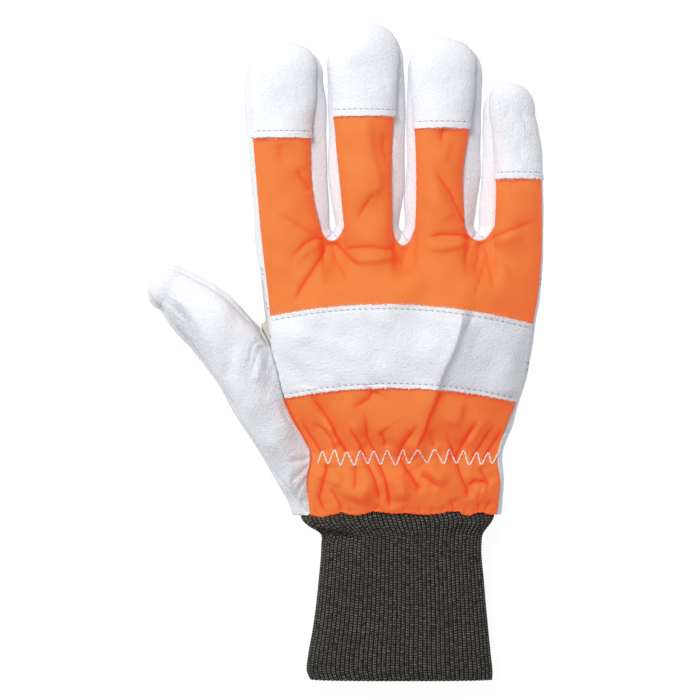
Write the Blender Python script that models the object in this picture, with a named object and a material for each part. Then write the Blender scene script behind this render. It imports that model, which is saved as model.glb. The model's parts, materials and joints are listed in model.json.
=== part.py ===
"""A right-hand chainsaw work glove, lying palm down with its fingers along +Y and its back facing +Z.

The glove is one skin that is cut along its seams into panels. The skin is lofted through short tables of
sections, one for each finger, one for the hand and one for the thumb, and every panel is a wall of leather
or cloth between the skin and a copy of it offset inwards. Neighbouring panels share their seam, so they are
mitred there, and each is trimmed back by half a seam gap. The knitted cuff is a ribbed tube below the wrist.

Lengths in the tables are millimetres. X runs from the thumb to the little finger, Y to the fingertips and
Z up from the surface that the palm lies on.
"""

import bpy
import numpy as np

MM = 0.001

LEATHER = 1.6
CLOTH = 1.4
STRAP = 1.3
KNIT = 2.2
SEAM_GAP = 0.3
CAP_PROUD = 0.5
# Limits that keep a sharp seam corner's trim and a sharp crease's offset from running away.
MITRE_LIMIT = 0.02
LEAN_LIMIT = 0.7

# Columns of faces over a finger's back, down a side wall, under a finger and round a crotch.
BACK_COLS = 6
SIDE_COLS = 3
PALM_COLS = 4
CROTCH_COLS = 4
# Rows of faces along a finger below its cap's edge and above it, and round the tip of a finger or thumb.
ROWS_BELOW_CAP = 4
ROWS_ABOVE_CAP = 3
TIP_ROWS = 4

# The four fingers' sections, from the crotch line to where the tip starts to round off.
FINGER_COLUMNS = ("y", "outer_l", "seam_l", "seam_r", "outer_r", "seam_z", "crown_z")
FINGERS = {
    "index": {
        "tip": (-26.7, 134.6),
        "cap_y": 92.9,
        "rows": (
            (55.0, -40.2, -37.6, -11.2, -7.2, 16.0, 23.5),
            (64.5, -40.8, -38.4, -13.6, -7.4, 15.8, 23.0),
            (75.0, -41.5, -39.3, -14.9, -8.3, 15.5, 22.5),
            (97.0, -43.7, -41.0, -15.2, -8.4, 15.0, 22.0),
            (112.0, -44.3, -41.9, -13.4, -9.0, 14.5, 21.0),
            (118.5, -43.8, -42.0, -13.4, -9.9, 14.0, 20.5),
        ),
    },
    "middle": {
        "tip": (11.2, 142.6),
        "cap_y": 102.2,
        "rows": (
            (55.0, -4.6, -1.2, 19.9, 22.9, 17.0, 25.0),
            (67.0, -6.7, -2.4, 19.8, 24.5, 16.5, 24.5),
            (75.0, -7.6, -3.2, 19.6, 25.4, 16.0, 24.0),
            (97.0, -7.8, -5.4, 20.3, 25.6, 15.5, 23.0),
            (112.0, -8.2, -6.7, 21.8, 25.7, 15.0, 22.0),
            (124.0, -8.4, -7.6, 22.3, 24.8, 14.5, 21.0),
        ),
    },
    "ring": {
        "tip": (42.0, 136.4),
        "cap_y": 97.0,
        "rows": (
            (55.0, 25.5, 29.6, 51.4, 55.4, 17.0, 24.0),
            (65.5, 25.1, 30.0, 50.8, 57.0, 16.5, 23.8),
            (75.0, 26.0, 30.1, 50.5, 58.2, 16.0, 23.5),
            (97.0, 26.2, 29.4, 53.4, 58.7, 15.5, 22.5),
            (112.0, 26.4, 28.3, 55.5, 59.0, 15.0, 21.5),
            (121.0, 26.8, 27.7, 55.6, 59.0, 14.5, 21.0),
        ),
    },
    "little": {
        "tip": (70.8, 117.2),
        "cap_y": 75.1,
        "rows": (
            (55.0, 57.9, 64.2, 85.2, 86.0, 14.5, 21.0),
            (60.0, 57.7, 64.5, 85.1, 85.9, 14.5, 21.0),
            (75.0, 58.9, 64.7, 84.9, 85.7, 14.5, 21.0),
            (88.0, 59.4, 64.2, 84.4, 85.0, 14.0, 20.0),
            (97.0, 59.4, 63.4, 83.2, 83.8, 13.5, 19.5),
            (103.0, 59.5, 62.4, 81.8, 82.4, 13.5, 19.0),
        ),
    },
}
NAMES = tuple(FINGERS)
BASE_Y = 55.0
# How far each crotch's U-shaped seam dips below the crotch line.
CROTCH_DIP = (6.5, 8.6, 6.4)
PALM_CROTCH_DIP = 5.0
# How far each crotch rises again between its two seams, as a share of its dip, and how round its U is.
CROTCH_RISE = 0.6
CROTCH_ROUND = 0.7
TIP_JOIN_Z = 9.0
# How squarely a tip's outline rounds off, and how soon its crown comes down and its underside up.
TIP_FULLNESS = 2.4
CROWN_CLOSING = 0.9
SOLE_CLOSING = 1.5
# The share of the rounded tip at which a side strip has run out to a point.
SIDE_END = 0.8
# How far an arc over a back bends round: 1 would be half a circle.
BACK_FULLNESS = 0.8
PALM_SEAM_Z = 4.0
# The share of the way from the back seam to the outline at which the palm seam lies.
PALM_SEAM_OUT = 0.4
# The share of the palm side's half width that lies flat on the surface.
FLAT = 0.5

# The hand's sections, from the wrist up to the crotch line. l and r are its seams and m its middle.
HAND_COLUMNS = ("y_l", "y_m", "y_r", "x_l", "x_r", "out_l", "out_r", "z_l", "z_m", "z_r")
HAND = (
    (-71.1, -69.8, -70.7, -16.2, 65.9, -23.6, 67.7, 11.0, 21.0, 10.5),
    (-56.3, -57.0, -56.3, -17.2, 67.2, -25.2, 68.6, 14.0, 26.5, 13.0),
    (-43.3, -45.9, -44.6, -15.6, 66.0, -24.6, 68.2, 14.0, 23.5, 13.0),
    (-29.4, -30.2, -31.5, -22.8, 70.1, -28.0, 72.6, 16.0, 28.0, 14.0),
    (-19.8, -15.2, -21.5, -26.9, 74.0, -31.0, 75.4, 17.0, 30.0, 14.5),
    (-8.5, -3.1, -10.8, -29.6, 77.0, -32.5, 78.4, 17.0, 30.5, 14.5),
    (2.8, 8.0, 0.0, -32.6, 79.2, -34.0, 80.6, 16.5, 30.5, 14.5),
    (15.4, 20.4, 12.0, -33.4, 81.2, -35.2, 82.4, 16.5, 30.0, 14.5),
    (27.2, 31.5, 25.9, -34.5, 83.6, -36.6, 84.6, 16.0, 29.0, 14.5),
    (39.4, 41.5, 39.4, -36.0, 84.8, -38.4, 85.7, 16.0, 27.0, 14.5),
    (55.0, 55.0, 55.0, -37.6, 85.2, -40.2, 86.0, 16.0, 24.5, 14.5),
)
# Where the hand is cut into rows of faces, counted in the rows of that table: closer near the elastic.
HAND_STATIONS = (0.0, 0.5, 1.0, 1.5, 2.0, 2.5, 3.0, 4.0, 5.0, 6.0, 7.0, 8.0, 9.0, 10.0)
ELASTIC_ROW = 2
STRAP_ROWS = (4, 7)
PANEL_SPLIT_ROW = 5
THUMB_ROW = 6
# The rows from which the columns start to spread towards the fingers, and the surface to follow them.
SPREAD_ROW = 4
FOLLOW_ROW = 7.5
# The cut at which the web between thumb and hand begins, and so the thumb's columns above and below.
THUMB_CUT = HAND_STATIONS.index(THUMB_ROW)
# How far the web between thumb and index finger reaches out of the notch, low down.
WEB = (-4.5, 8.0)

# The thumb's sections from its seam with the hand to where the tip rounds off: its outline's upper point u,
# beside the index finger, and lower point l, towards the wrist, and the heights of its seams and its crown.
THUMB_COLUMNS = ("u_x", "u_y", "l_x", "l_y", "edge_z", "crown_z")
THUMB = (
    (-33.0, 3.6, -22.3, -72.0, 12.0, 19.0),
    (-35.4, 7.0, -24.8, -65.5, 12.0, 21.0),
    (-38.2, 11.4, -32.8, -52.0, 12.0, 22.5),
    (-42.3, 16.2, -41.6, -38.1, 12.0, 23.0),
    (-46.7, 20.8, -50.8, -22.8, 12.0, 23.0),
    (-51.9, 25.8, -57.6, -11.8, 12.0, 22.0),
    (-58.4, 30.6, -66.6, 0.6, 12.0, 21.0),
    (-65.4, 34.3, -76.8, 11.4, 11.5, 20.0),
    (-71.1, 36.8, -81.6, 18.2, 11.0, 19.0),
)
THUMB_TIP = (-84.9, 31.8)
# How far the thumb's seams lie inside its outline, and the share of its length that the hand's edge shapes.
THUMB_INSET = 2.4
THUMB_BLEND = 0.3

# The cuff's sections, from the wrist seam to the open end.
CUFF_COLUMNS = ("y", "x_l", "x_r", "top_z")
CUFF = (
    (-75.5, -18.6, 62.4, 20.0),
    (-79.5, -11.0, 59.0, 19.0),
    (-100.0, -12.2, 60.0, 18.5),
    (-134.0, -17.0, 63.2, 18.5),
    (-142.6, -15.6, 63.8, 17.0),
)
RIBS = 52
RIB_DEPTH = 0.5
CUFF_SQUARENESS = 2.6
OVAL_STEPS = 720

# Folds in the back: a line from the first point to the second, its height and the width of each flank.
# A narrow right flank and a wide left one make the step of the big diagonal fold.
FOLD_COLUMNS = ("x0", "y0", "x1", "y1", "height", "flank_l", "flank_r")
FOLDS = (
    (59.0, 36.0, 51.0, 17.6, 1.6, 9.0, 3.5),
    (51.0, 17.6, 40.3, -14.6, 4.2, 13.0, 3.5),
    (40.3, -14.6, 30.0, -43.0, 2.8, 10.0, 3.5),
    (-6.0, 48.0, -26.0, 24.0, -1.6, 4.0, 4.0),
    (-2.0, 47.0, 7.0, 39.0, -1.4, 3.0, 3.0),
    (57.0, 47.5, 36.0, 52.0, -1.2, 4.0, 4.0),
    (61.0, 48.5, 84.0, 58.0, -1.4, 4.0, 4.0),
    (25.0, 45.0, 26.0, 34.0, -1.0, 4.0, 4.0),
)
# The length over which a fold fades out at its ends, and how soon relief fades in from the side seams.
FOLD_FADE = 4.0
EDGE_FADE = 12.0
# The pleats that the elastic draws the back into are one column wide each.
GATHER_HEIGHT = 0.9
GATHER_REACH = 11.0

WHITE_LEATHER = (0.86, 0.86, 0.88, 1.0)
ORANGE_CLOTH = (0.90, 0.15, 0.03, 1.0)
BLACK_KNIT = (0.03, 0.03, 0.03, 1.0)


def smoothstep(t):
    t = np.clip(t, 0.0, 1.0)
    return t * t * (3.0 - 2.0 * t)


def through_rows(keys, values, at):
    """Smooth curve through a table's rows: cubic pieces whose slopes follow the neighbouring rows."""
    keys = np.asarray(keys, float)
    values = np.asarray(values, float)
    at = np.clip(at, keys[0], keys[-1])
    slopes = np.gradient(values, keys)
    i = np.clip(np.searchsorted(keys, at, side="right") - 1, 0, len(keys) - 2)
    step = keys[i + 1] - keys[i]
    t = (at - keys[i]) / step
    start = (1 + 2 * t) * (1 - t) ** 2 * values[i] + t * (1 - t) ** 2 * step * slopes[i]
    end = t * t * (3 - 2 * t) * values[i + 1] + t * t * (t - 1) * step * slopes[i + 1]
    return start + end


def table_row(columns, rows, keys, at):
    """Every column of a table at one place, as a dictionary."""
    return {name: through_rows(keys, [row[i] for row in rows], at) for i, name in enumerate(columns)}


def arc(steps, fullness):
    """Positions 0 to 1 across a domed panel and its height 0 to 1 there, as an arc of a circle."""
    angle = np.linspace(-1.0, 1.0, steps + 1) * fullness * np.pi / 2
    across = (np.sin(angle) / np.sin(fullness * np.pi / 2) + 1) / 2
    height = (np.cos(angle) - np.cos(fullness * np.pi / 2)) / (1 - np.cos(fullness * np.pi / 2))
    return across, height


def side_wall(top, bottom, reach, steps):
    """A side wall's section from its top seam down to its bottom seam, swelling out to the x, y of reach."""
    v = np.linspace(0.0, 1.0, steps + 1)[:, None]
    swell = np.sin(np.pi * v)
    section = top + (bottom - top) * v
    section[:, :2] += swell / swell.max() * (np.asarray(reach) - section[:, :2])
    return section


def flat_bottom(across, mid_z, left_z, right_z):
    """Heights under a panel that lies flat in its middle and curls up to its two seams."""
    a = 2 * across - 1
    curl = (np.clip(np.abs(a) - FLAT, 0, None) / (1 - FLAT)) ** 2
    return mid_z + (np.where(a < 0, left_z, right_z) - mid_z) * curl


def finger_ring(name, y):
    """One section of a finger, as four strips of points: back, right side, palm and left side."""
    finger = FINGERS[name]
    rows = finger["rows"]
    tip_x, tip_y = finger["tip"]
    round_y = rows[-1][0]
    s = table_row(FINGER_COLUMNS, rows, [row[0] for row in rows], min(y, round_y))
    q = np.clip((y - round_y) / (tip_y - round_y), 0.0, 1.0)
    width = np.sqrt(max(0.0, 1 - q**TIP_FULLNESS))
    side = np.sqrt(np.clip(1 - q / SIDE_END, 0.0, 1.0))
    outer = [tip_x + (s[k] - tip_x) * width for k in ("outer_l", "outer_r")]
    seam = [tip_x + (s[k] - tip_x) * width for k in ("seam_l", "seam_r")]
    seam = [o + (m - o) * side for o, m in zip(outer, seam)]
    low = [m + (o - m) * PALM_SEAM_OUT for o, m in zip(outer, seam)]
    seam_z = TIP_JOIN_Z + (s["seam_z"] - TIP_JOIN_Z) * side
    low_z = TIP_JOIN_Z + (PALM_SEAM_Z - TIP_JOIN_Z) * side
    crown_z = TIP_JOIN_Z + (s["crown_z"] - TIP_JOIN_Z) * width**CROWN_CLOSING

    across, height = arc(BACK_COLS, BACK_FULLNESS)
    back = np.column_stack(
        (
            seam[0] + (seam[1] - seam[0]) * across,
            np.full_like(across, y),
            seam_z + (crown_z - seam_z) * height,
        )
    )
    across = np.linspace(0.0, 1.0, PALM_COLS + 1)
    palm = np.column_stack(
        (
            low[0] + (low[1] - low[0]) * across,
            np.full_like(across, y),
            flat_bottom(across, TIP_JOIN_Z * (1 - width) ** SOLE_CLOSING, low_z, low_z),
        )
    )
    left = side_wall(back[0], palm[0], (outer[0], y), SIDE_COLS)
    right = side_wall(back[-1], palm[-1], (outer[1], y), SIDE_COLS)
    return {"back": back, "right": right, "palm": palm[::-1], "left": left[::-1]}


def finger_stations(name):
    """Where a finger is cut into sections: evenly up to its cap, up to its tip, and closer round the tip."""
    finger = FINGERS[name]
    round_y = finger["rows"][-1][0]
    tip_y = finger["tip"][1]
    turn = np.linspace(0.0, np.pi / 2, TIP_ROWS + 1)
    return np.concatenate(
        (
            np.linspace(BASE_Y, finger["cap_y"], ROWS_BELOW_CAP + 1)[:-1],
            np.linspace(finger["cap_y"], round_y, ROWS_ABOVE_CAP + 1)[:-1],
            round_y + (tip_y - round_y) * np.sin(turn),
        )
    )


def crotch_patch(right_side, left_side, dip):
    """The gusset between two fingers: from one's side wall round the U of the crotch to the other's."""
    left_side = left_side[::-1]
    u = np.linspace(0.0, 1.0, CROTCH_COLS + 1)[None, :, None]
    flat = right_side[:, None] * (1 - u) + left_side[:, None] * u
    v = np.linspace(0.0, 1.0, SIDE_COLS + 1)
    depth = dip * (1 - v) + PALM_CROTCH_DIP * v - dip * np.sin(np.pi * v) * CROTCH_RISE
    flat[:, :, 1] -= depth[:, None] * np.sin(np.pi * u[0, :, 0]) ** CROTCH_ROUND
    return flat


def fold_relief(x, y):
    """Height that the folds add to the back at x, y."""
    relief = np.zeros_like(x)
    for row in FOLDS:
        fold = dict(zip(FOLD_COLUMNS, row))
        start = np.array((fold["x0"], fold["y0"]))
        run = np.array((fold["x1"], fold["y1"])) - start
        length = np.hypot(*run)
        run = run / length
        along = (x - start[0]) * run[0] + (y - start[1]) * run[1]
        off = (x - start[0]) * -run[1] + (y - start[1]) * run[0]
        flank = np.where(off > 0, fold["flank_r"], fold["flank_l"])
        ends = smoothstep((along / FOLD_FADE + 1) / 2) * smoothstep(((length - along) / FOLD_FADE + 1) / 2)
        relief += fold["height"] * np.exp(-((off / flank) ** 2)) * ends
    return relief


def gather_relief(y, elastic_y):
    """Height of the pleats along one row of points: up and down by turns, most at the elastic."""
    pleat = np.where(np.arange(len(y)) % 2 == 0, -1.0, 1.0)
    return GATHER_HEIGHT * pleat * np.exp(-(((y - elastic_y) / GATHER_REACH) ** 2))


def hand_sheet(crotch, on_back):
    """The hand's back or palm: a grid from the wrist row up to the crotch line's points, x increasing."""
    keys = range(len(HAND))
    last = keys[-1]
    elastic_y = HAND[ELASTIC_ROW][1]
    count = len(crotch) - 1
    even = np.linspace(0.0, 1.0, count + 1)
    spread = (crotch[:, 0] - crotch[0, 0]) / (crotch[-1, 0] - crotch[0, 0])
    arc_x, arc_z = arc(count, BACK_FULLNESS)
    sheet = []
    for r in HAND_STATIONS[:-1]:
        s = table_row(HAND_COLUMNS, HAND, keys, r)
        across = even + (spread - even) * smoothstep((r - SPREAD_ROW) / (last - SPREAD_ROW))
        bend = smoothstep((r - FOLLOW_ROW) / (last - FOLLOW_ROW))
        bow = s["y_m"] - (s["y_l"] + s["y_r"]) / 2
        y = s["y_l"] + (s["y_r"] - s["y_l"]) * across + bow * 4 * across * (1 - across)
        y = y + (crotch[:, 1] - BASE_Y) * bend
        if on_back:
            x = s["x_l"] + (s["x_r"] - s["x_l"]) * across
            z = s["z_l"] + (s["z_r"] - s["z_l"]) * across
            z = z + (s["z_m"] - (s["z_l"] + s["z_r"]) / 2) * np.interp(across, arc_x, arc_z)
            z = z + (crotch[:, 2] - z) * bend
            inside = np.clip(EDGE_FADE * across * (1 - across), 0, 1) * (1 - bend)
            z = z + inside * fold_relief(x, y)
            if r < STRAP_ROWS[0]:
                z = z + inside * gather_relief(y, elastic_y)
        else:
            free = 1 - smoothstep(THUMB_ROW + 1 - r)
            left = s["x_l"] + (s["out_l"] - s["x_l"]) * PALM_SEAM_OUT * free
            right = s["x_r"] + (s["out_r"] - s["x_r"]) * PALM_SEAM_OUT
            x = left + (right - left) * across
            z = flat_bottom(across, 0.0, PALM_SEAM_Z * free, PALM_SEAM_Z)
        sheet.append(np.column_stack((x, y, z)))
    return np.array(sheet + [crotch])


def thumb_ring(t):
    """One section of the thumb at t sections from its base: top, upper side, palm and lower side strips."""
    last = len(THUMB) - 1
    s = table_row(THUMB_COLUMNS, THUMB, range(len(THUMB)), min(t, last))
    upper = np.array((s["u_x"], s["u_y"], 0.0))
    lower = np.array((s["l_x"], s["l_y"], 0.0))
    q = np.clip(t - last, 0.0, 1.0)
    width = np.sqrt(max(0.0, 1 - q**TIP_FULLNESS))
    tip = np.array((*THUMB_TIP, 0.0))
    middle = (upper + lower) / 2
    middle = middle + (tip - middle) * q
    half = (upper - lower) / 2 * width
    inset = half / max(np.linalg.norm(half), 1e-9) * THUMB_INSET * width
    edge_z = TIP_JOIN_Z + (s["edge_z"] - TIP_JOIN_Z) * width
    low_z = TIP_JOIN_Z + (PALM_SEAM_Z - TIP_JOIN_Z) * width
    crown_z = TIP_JOIN_Z + (s["crown_z"] - TIP_JOIN_Z) * width

    ends = (middle - half + inset, middle + half - inset)
    across, height = arc(THUMB_CUT, BACK_FULLNESS)
    top = ends[0] + (ends[1] - ends[0]) * across[:, None]
    top[:, 2] = edge_z + (crown_z - edge_z) * height
    across = np.linspace(0.0, 1.0, THUMB_CUT + 1)
    palm = ends[0] + (ends[1] - ends[0]) * across[:, None]
    palm[:, 2] = flat_bottom(across, TIP_JOIN_Z * (1 - width) ** SOLE_CLOSING, low_z, low_z)
    upper_side = side_wall(top[-1], palm[-1], (middle + half)[:2], SIDE_COLS)
    lower_side = side_wall(top[0], palm[0], (middle - half)[:2], SIDE_COLS)
    return np.concatenate((top[:-1], upper_side[:-1], palm[::-1][:-1], lower_side[::-1]))


def grid_triangles(ids, points):
    """A grid of point numbers cut into triangles along each face's shorter diagonal, with row and column."""
    for i in range(len(ids) - 1):
        for j in range(len(ids[0]) - 1):
            a, b, c, d = (int(k) for k in (ids[i, j], ids[i, j + 1], ids[i + 1, j + 1], ids[i + 1, j]))
            if np.linalg.norm(points[a] - points[c]) < np.linalg.norm(points[b] - points[d]):
                pair = ((a, b, c), (a, c, d))
            else:
                pair = ((a, b, d), (b, c, d))
            for face in pair:
                if len(set(face)) == 3:
                    yield i, j, list(face)


class Skin:
    """The glove's outer surface: welded points, and faces that each belong to a named panel."""

    def __init__(self):
        self.points = []
        self.faces = []
        self.panels = []
        self.known = {}

    def point(self, p):
        key = tuple(np.round(p, 4))
        if key not in self.known:
            self.known[key] = len(self.points)
            self.points.append(p)
        return self.known[key]

    def add(self, grid, panel):
        """Adds a grid of points and returns their numbers. panel names every face, or each by its row."""
        ids = np.array([[self.point(p) for p in row] for row in grid])
        for i, j, face in grid_triangles(ids, self.points):
            self.faces.append(face)
            self.panels.append(panel(i, j) if callable(panel) else panel)
        return ids

    def normals(self):
        """A direction at every point that offsets the faces round it evenly."""
        points = np.array(self.points)
        total = np.zeros_like(points)
        units = []
        for face in self.faces:
            corner = points[face]
            normal = np.cross(corner[1] - corner[0], corner[2] - corner[0])
            normal = normal / max(np.linalg.norm(normal), 1e-12)
            units.append(normal)
            for k, i in enumerate(face):
                a = corner[k - 1] - corner[k]
                b = corner[k - 2] - corner[k]
                cosine = a @ b / max(np.linalg.norm(a) * np.linalg.norm(b), 1e-12)
                total[i] += normal * np.arccos(np.clip(cosine, -1, 1))
        total /= np.maximum(np.linalg.norm(total, axis=1), 1e-12)[:, None]
        lean = np.ones(len(points))
        for face, normal in zip(self.faces, units):
            for i in face:
                lean[i] = min(lean[i], max(total[i] @ normal, LEAN_LIMIT))
        return total / lean[:, None]


def build_skin():
    """The fingers, crotches, hand and thumb as one skin, its edge at the wrist and its points on the back."""
    skin = Skin()
    rings = {}
    for name in NAMES:
        stations = finger_stations(name)
        rings[name] = [finger_ring(name, y) for y in stations]
        cap_row = int(np.searchsorted(stations, FINGERS[name]["cap_y"] - 1e-6))
        for part in ("back", "right", "palm", "left"):
            grid = [ring[part] for ring in rings[name]]
            if part == "back":
                skin.add(grid, lambda i, j: f"{name}_cap" if i >= cap_row else "back_panel")
            elif part == "palm" or (name, part) in (("index", "left"), ("little", "right")):
                skin.add(grid, "palm_panel")
            else:
                skin.add(grid, f"{name}_{part}_strip")

    back_line = []
    palm_line = []
    for i, name in enumerate(NAMES):
        base = rings[name][0]
        back_line.extend(base["back"])
        palm_line.extend(base["palm"][::-1])
        if i < 3:
            patch = crotch_patch(base["right"], rings[NAMES[i + 1]][0]["left"], CROTCH_DIP[i])
            skin.add(patch, f"{name}_crotch_gusset")
            back_line.extend(patch[0, 1:-1])
            palm_line.extend(patch[-1, 1:-1])
    back = hand_sheet(np.array(back_line), True)
    palm = hand_sheet(np.array(palm_line), False)
    split = HAND_STATIONS.index(PANEL_SPLIT_ROW)
    back_ids = skin.add(back, lambda i, j: "back_panel" if i >= split else "wrist_panel")
    skin.add(palm[:, ::-1], "palm_panel")

    right = [rings["little"][0]["right"]]
    left = [rings["index"][0]["left"]]
    for i in reversed(range(len(HAND_STATIONS) - 1)):
        s = table_row(HAND_COLUMNS, HAND, range(len(HAND)), HAND_STATIONS[i])
        right.insert(0, side_wall(back[i, -1], palm[i, -1], (s["out_r"], s["y_r"]), SIDE_COLS))
        reach = back[i, 0, :2] + WEB if i == THUMB_CUT else (s["out_l"], s["y_l"])
        left.insert(0, side_wall(back[i, 0], palm[i, 0], reach, SIDE_COLS)[::-1])
    skin.add(right, "palm_panel")
    skin.add(left[THUMB_CUT:], "palm_panel")

    above = back[:THUMB_CUT, 0]
    below = palm[THUMB_CUT:0:-1, 0]
    base = np.concatenate((above, left[THUMB_CUT][::-1][:-1], below, left[0]))
    last = len(THUMB) - 1
    turn = np.sin(np.linspace(0.0, np.pi / 2, TIP_ROWS + 1))
    stations = np.concatenate((np.arange(last), last + turn))
    plain = thumb_ring(0.0)
    thumb = []
    for t in stations:
        fade = 1 - smoothstep(t / (THUMB_BLEND * last))
        thumb.append(thumb_ring(t) + (base - plain) * fade)
    skin.add(thumb, "thumb")
    wrist = np.concatenate((back[0][:-1], right[0][:-1], palm[0, ::-1][:-1], left[0][:-1]))
    return skin, wrist, back_ids


def collect(name):
    collection = bpy.data.collections.new(name)
    bpy.context.scene.collection.children.link(collection)
    return collection


def material(name, colour, roughness):
    made = bpy.data.materials.new(name)
    made.use_nodes = True
    shader = made.node_tree.nodes["Principled BSDF"]
    shader.inputs["Base Color"].default_value = colour
    shader.inputs["Roughness"].default_value = roughness
    return made


def add_object(collection, name, points, faces, finish):
    mesh = bpy.data.meshes.new(name)
    mesh.from_pydata((np.asarray(points) * MM).tolist(), [], faces)
    mesh.materials.append(finish)
    mesh.shade_smooth()
    mesh.set_sharp_from_angle(angle=np.radians(50))
    made = bpy.data.objects.new(name, mesh)
    collection.objects.link(made)
    return made


def wall(outer, inner, faces):
    """Points and faces of the closed wall between two copies of some faces, trimmed back from its seams."""
    used = sorted({i for face in faces for i in face})
    local = {i: k for k, i in enumerate(used)}
    faces = [[local[i] for i in face] for face in faces]
    outer = outer[used].copy()
    inner = inner[used].copy()
    edges = {(face[k - 1], face[k]) for face in faces for k in range(len(face))}
    border = [edge for edge in edges if edge[::-1] not in edges]
    rim = sorted({i for edge in border for i in edge})
    face_of = {(face[k - 1], face[k]): face for face in faces for k in range(len(face))}
    inward = {i: [] for i in rim}
    for start, end in sorted(border):
        corner = outer[face_of[start, end]]
        normal = np.cross(corner[1] - corner[0], corner[2] - corner[0])
        across = np.cross(normal, outer[end] - outer[start])
        across /= max(np.linalg.norm(across), 1e-12)
        inward[start].append(across)
        inward[end].append(across)
    for i, (a, b) in inward.items():
        pull = (a + b) / max(1 + a @ b, MITRE_LIMIT) * SEAM_GAP / 2
        outer[i] += pull
        inner[i] += pull
    count = len(used)
    closed = list(faces)
    closed += [[i + count for i in reversed(face)] for face in faces]
    for a, b in sorted(border):
        if a < b:
            closed += [[b, a, b + count], [a, a + count, b + count]]
        else:
            closed += [[b, a, a + count], [b, a + count, b + count]]
    return np.concatenate((outer, inner)), closed


def add_panels(collection, skin, leather, cloth):
    """One wall for each panel of the skin. The fingertips' caps stand a little proud."""
    points = np.array(skin.points)
    normals = skin.normals()
    for panel in sorted(set(skin.panels)):
        faces = [face for face, name in zip(skin.faces, skin.panels) if name == panel]
        is_cloth = panel in ("back_panel", "wrist_panel")
        proud = CAP_PROUD if panel.endswith("_cap") else 0.0
        thick = CLOTH if is_cloth else LEATHER
        made = wall(points + normals * proud, points + normals * (proud - thick), faces)
        add_object(collection, panel, *made, cloth if is_cloth else leather)


def add_strap(collection, skin, back_ids, leather):
    """The knuckle strap: a band of leather over some of the back's rows, a seam gap clear of the cloth."""
    points = np.array(skin.points)
    normals = skin.normals()
    first, last = (HAND_STATIONS.index(row) for row in STRAP_ROWS)
    faces = [face for _, _, face in grid_triangles(back_ids[first : last + 1], points)]
    made = wall(points + normals * (SEAM_GAP + STRAP), points + normals * SEAM_GAP, faces)
    add_object(collection, "knuckle_strap", *made, leather)


def resample(loop, count):
    """A closed loop of points cut into count even steps, from its first point."""
    loop = np.concatenate((loop, loop[:1]))
    length = np.concatenate(((0.0,), np.cumsum(np.linalg.norm(np.diff(loop, axis=0), axis=1))))
    at = np.linspace(0.0, length[-1], count + 1)[:-1]
    return np.column_stack([np.interp(at, length, loop[:, k]) for k in range(3)])


def cuff_ring(row, count):
    """A flattened oval section of the cuff, resting on the surface, starting at its left end."""
    s = dict(zip(CUFF_COLUMNS, row))
    angle = np.pi - np.arange(OVAL_STEPS) * 2 * np.pi / OVAL_STEPS
    power = 2.0 / CUFF_SQUARENESS
    c, d = np.cos(angle), np.sin(angle)
    oval = np.column_stack(
        (
            (s["x_l"] + s["x_r"]) / 2 + (s["x_r"] - s["x_l"]) / 2 * np.sign(c) * np.abs(c) ** power,
            np.full_like(angle, s["y"]),
            s["top_z"] / 2 + s["top_z"] / 2 * np.sign(d) * np.abs(d) ** power,
        )
    )
    return resample(oval, count)


def add_cuff(collection, wrist, knit):
    """The ribbed cuff: a tube from just below the wrist edge to its open end, two columns to a rib."""
    count = 2 * RIBS
    start = resample(np.roll(wrist, -np.argmin(wrist[:, 0]), axis=0), count)
    start[:, 1] -= 2 * SEAM_GAP
    rings = [start] + [cuff_ring(row, count) for row in CUFF]
    outer = np.array(rings)
    around = np.roll(outer, -1, axis=1) - np.roll(outer, 1, axis=1)
    out = np.cross(around, (0.0, 1.0, 0.0))
    out /= np.linalg.norm(out, axis=2)[:, :, None]
    ribs = np.where(np.arange(count) % 2 == 0, 0.0, -RIB_DEPTH)[None, :, None]
    ribbed = outer + out * ribs
    inner = outer - out * KNIT
    rows = len(rings)
    points = np.concatenate((ribbed.reshape(-1, 3), inner.reshape(-1, 3)))
    points[:, 2] = np.maximum(points[:, 2], 0.0)
    faces = []
    half = rows * count
    for j in range(count):
        k = (j + 1) % count
        for i in range(rows - 1):
            a, b, c, d = i * count + j, i * count + k, (i + 1) * count + k, (i + 1) * count + j
            faces.append([d, c, b, a])
            faces.append([half + a, half + b, half + c, half + d])
        end = (rows - 1) * count
        faces.append([j, k, half + k, half + j])
        faces.append([half + end + j, half + end + k, end + k, end + j])
    add_object(collection, "knit_cuff", points, faces, knit)


def main():
    for old in list(bpy.data.objects):
        bpy.data.objects.remove(old)
    glove = collect("chainsaw_glove")
    leather = material("white_leather", WHITE_LEATHER, 0.5)
    cloth = material("orange_cloth", ORANGE_CLOTH, 0.6)
    knit = material("black_knit", BLACK_KNIT, 0.9)
    skin, wrist, back_ids = build_skin()
    add_panels(glove, skin, leather, cloth)
    add_strap(glove, skin, back_ids, leather)
    add_cuff(glove, wrist, knit)


main()
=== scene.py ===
"""Looks of a right-hand chainsaw work glove: fine panels with their seams, folds and gathers, its stitching,
its rib-knit cuff, materials, light and camera.

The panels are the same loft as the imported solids, cut much finer. Lengths are millimetres, except that
places named px are pixels of the 700 x 700 view, which looks straight down on the glove.
"""

import json

import bpy
import numpy as np
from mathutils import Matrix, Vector
from mathutils.bvhtree import BVHTree
from mathutils.kdtree import KDTree

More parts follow.
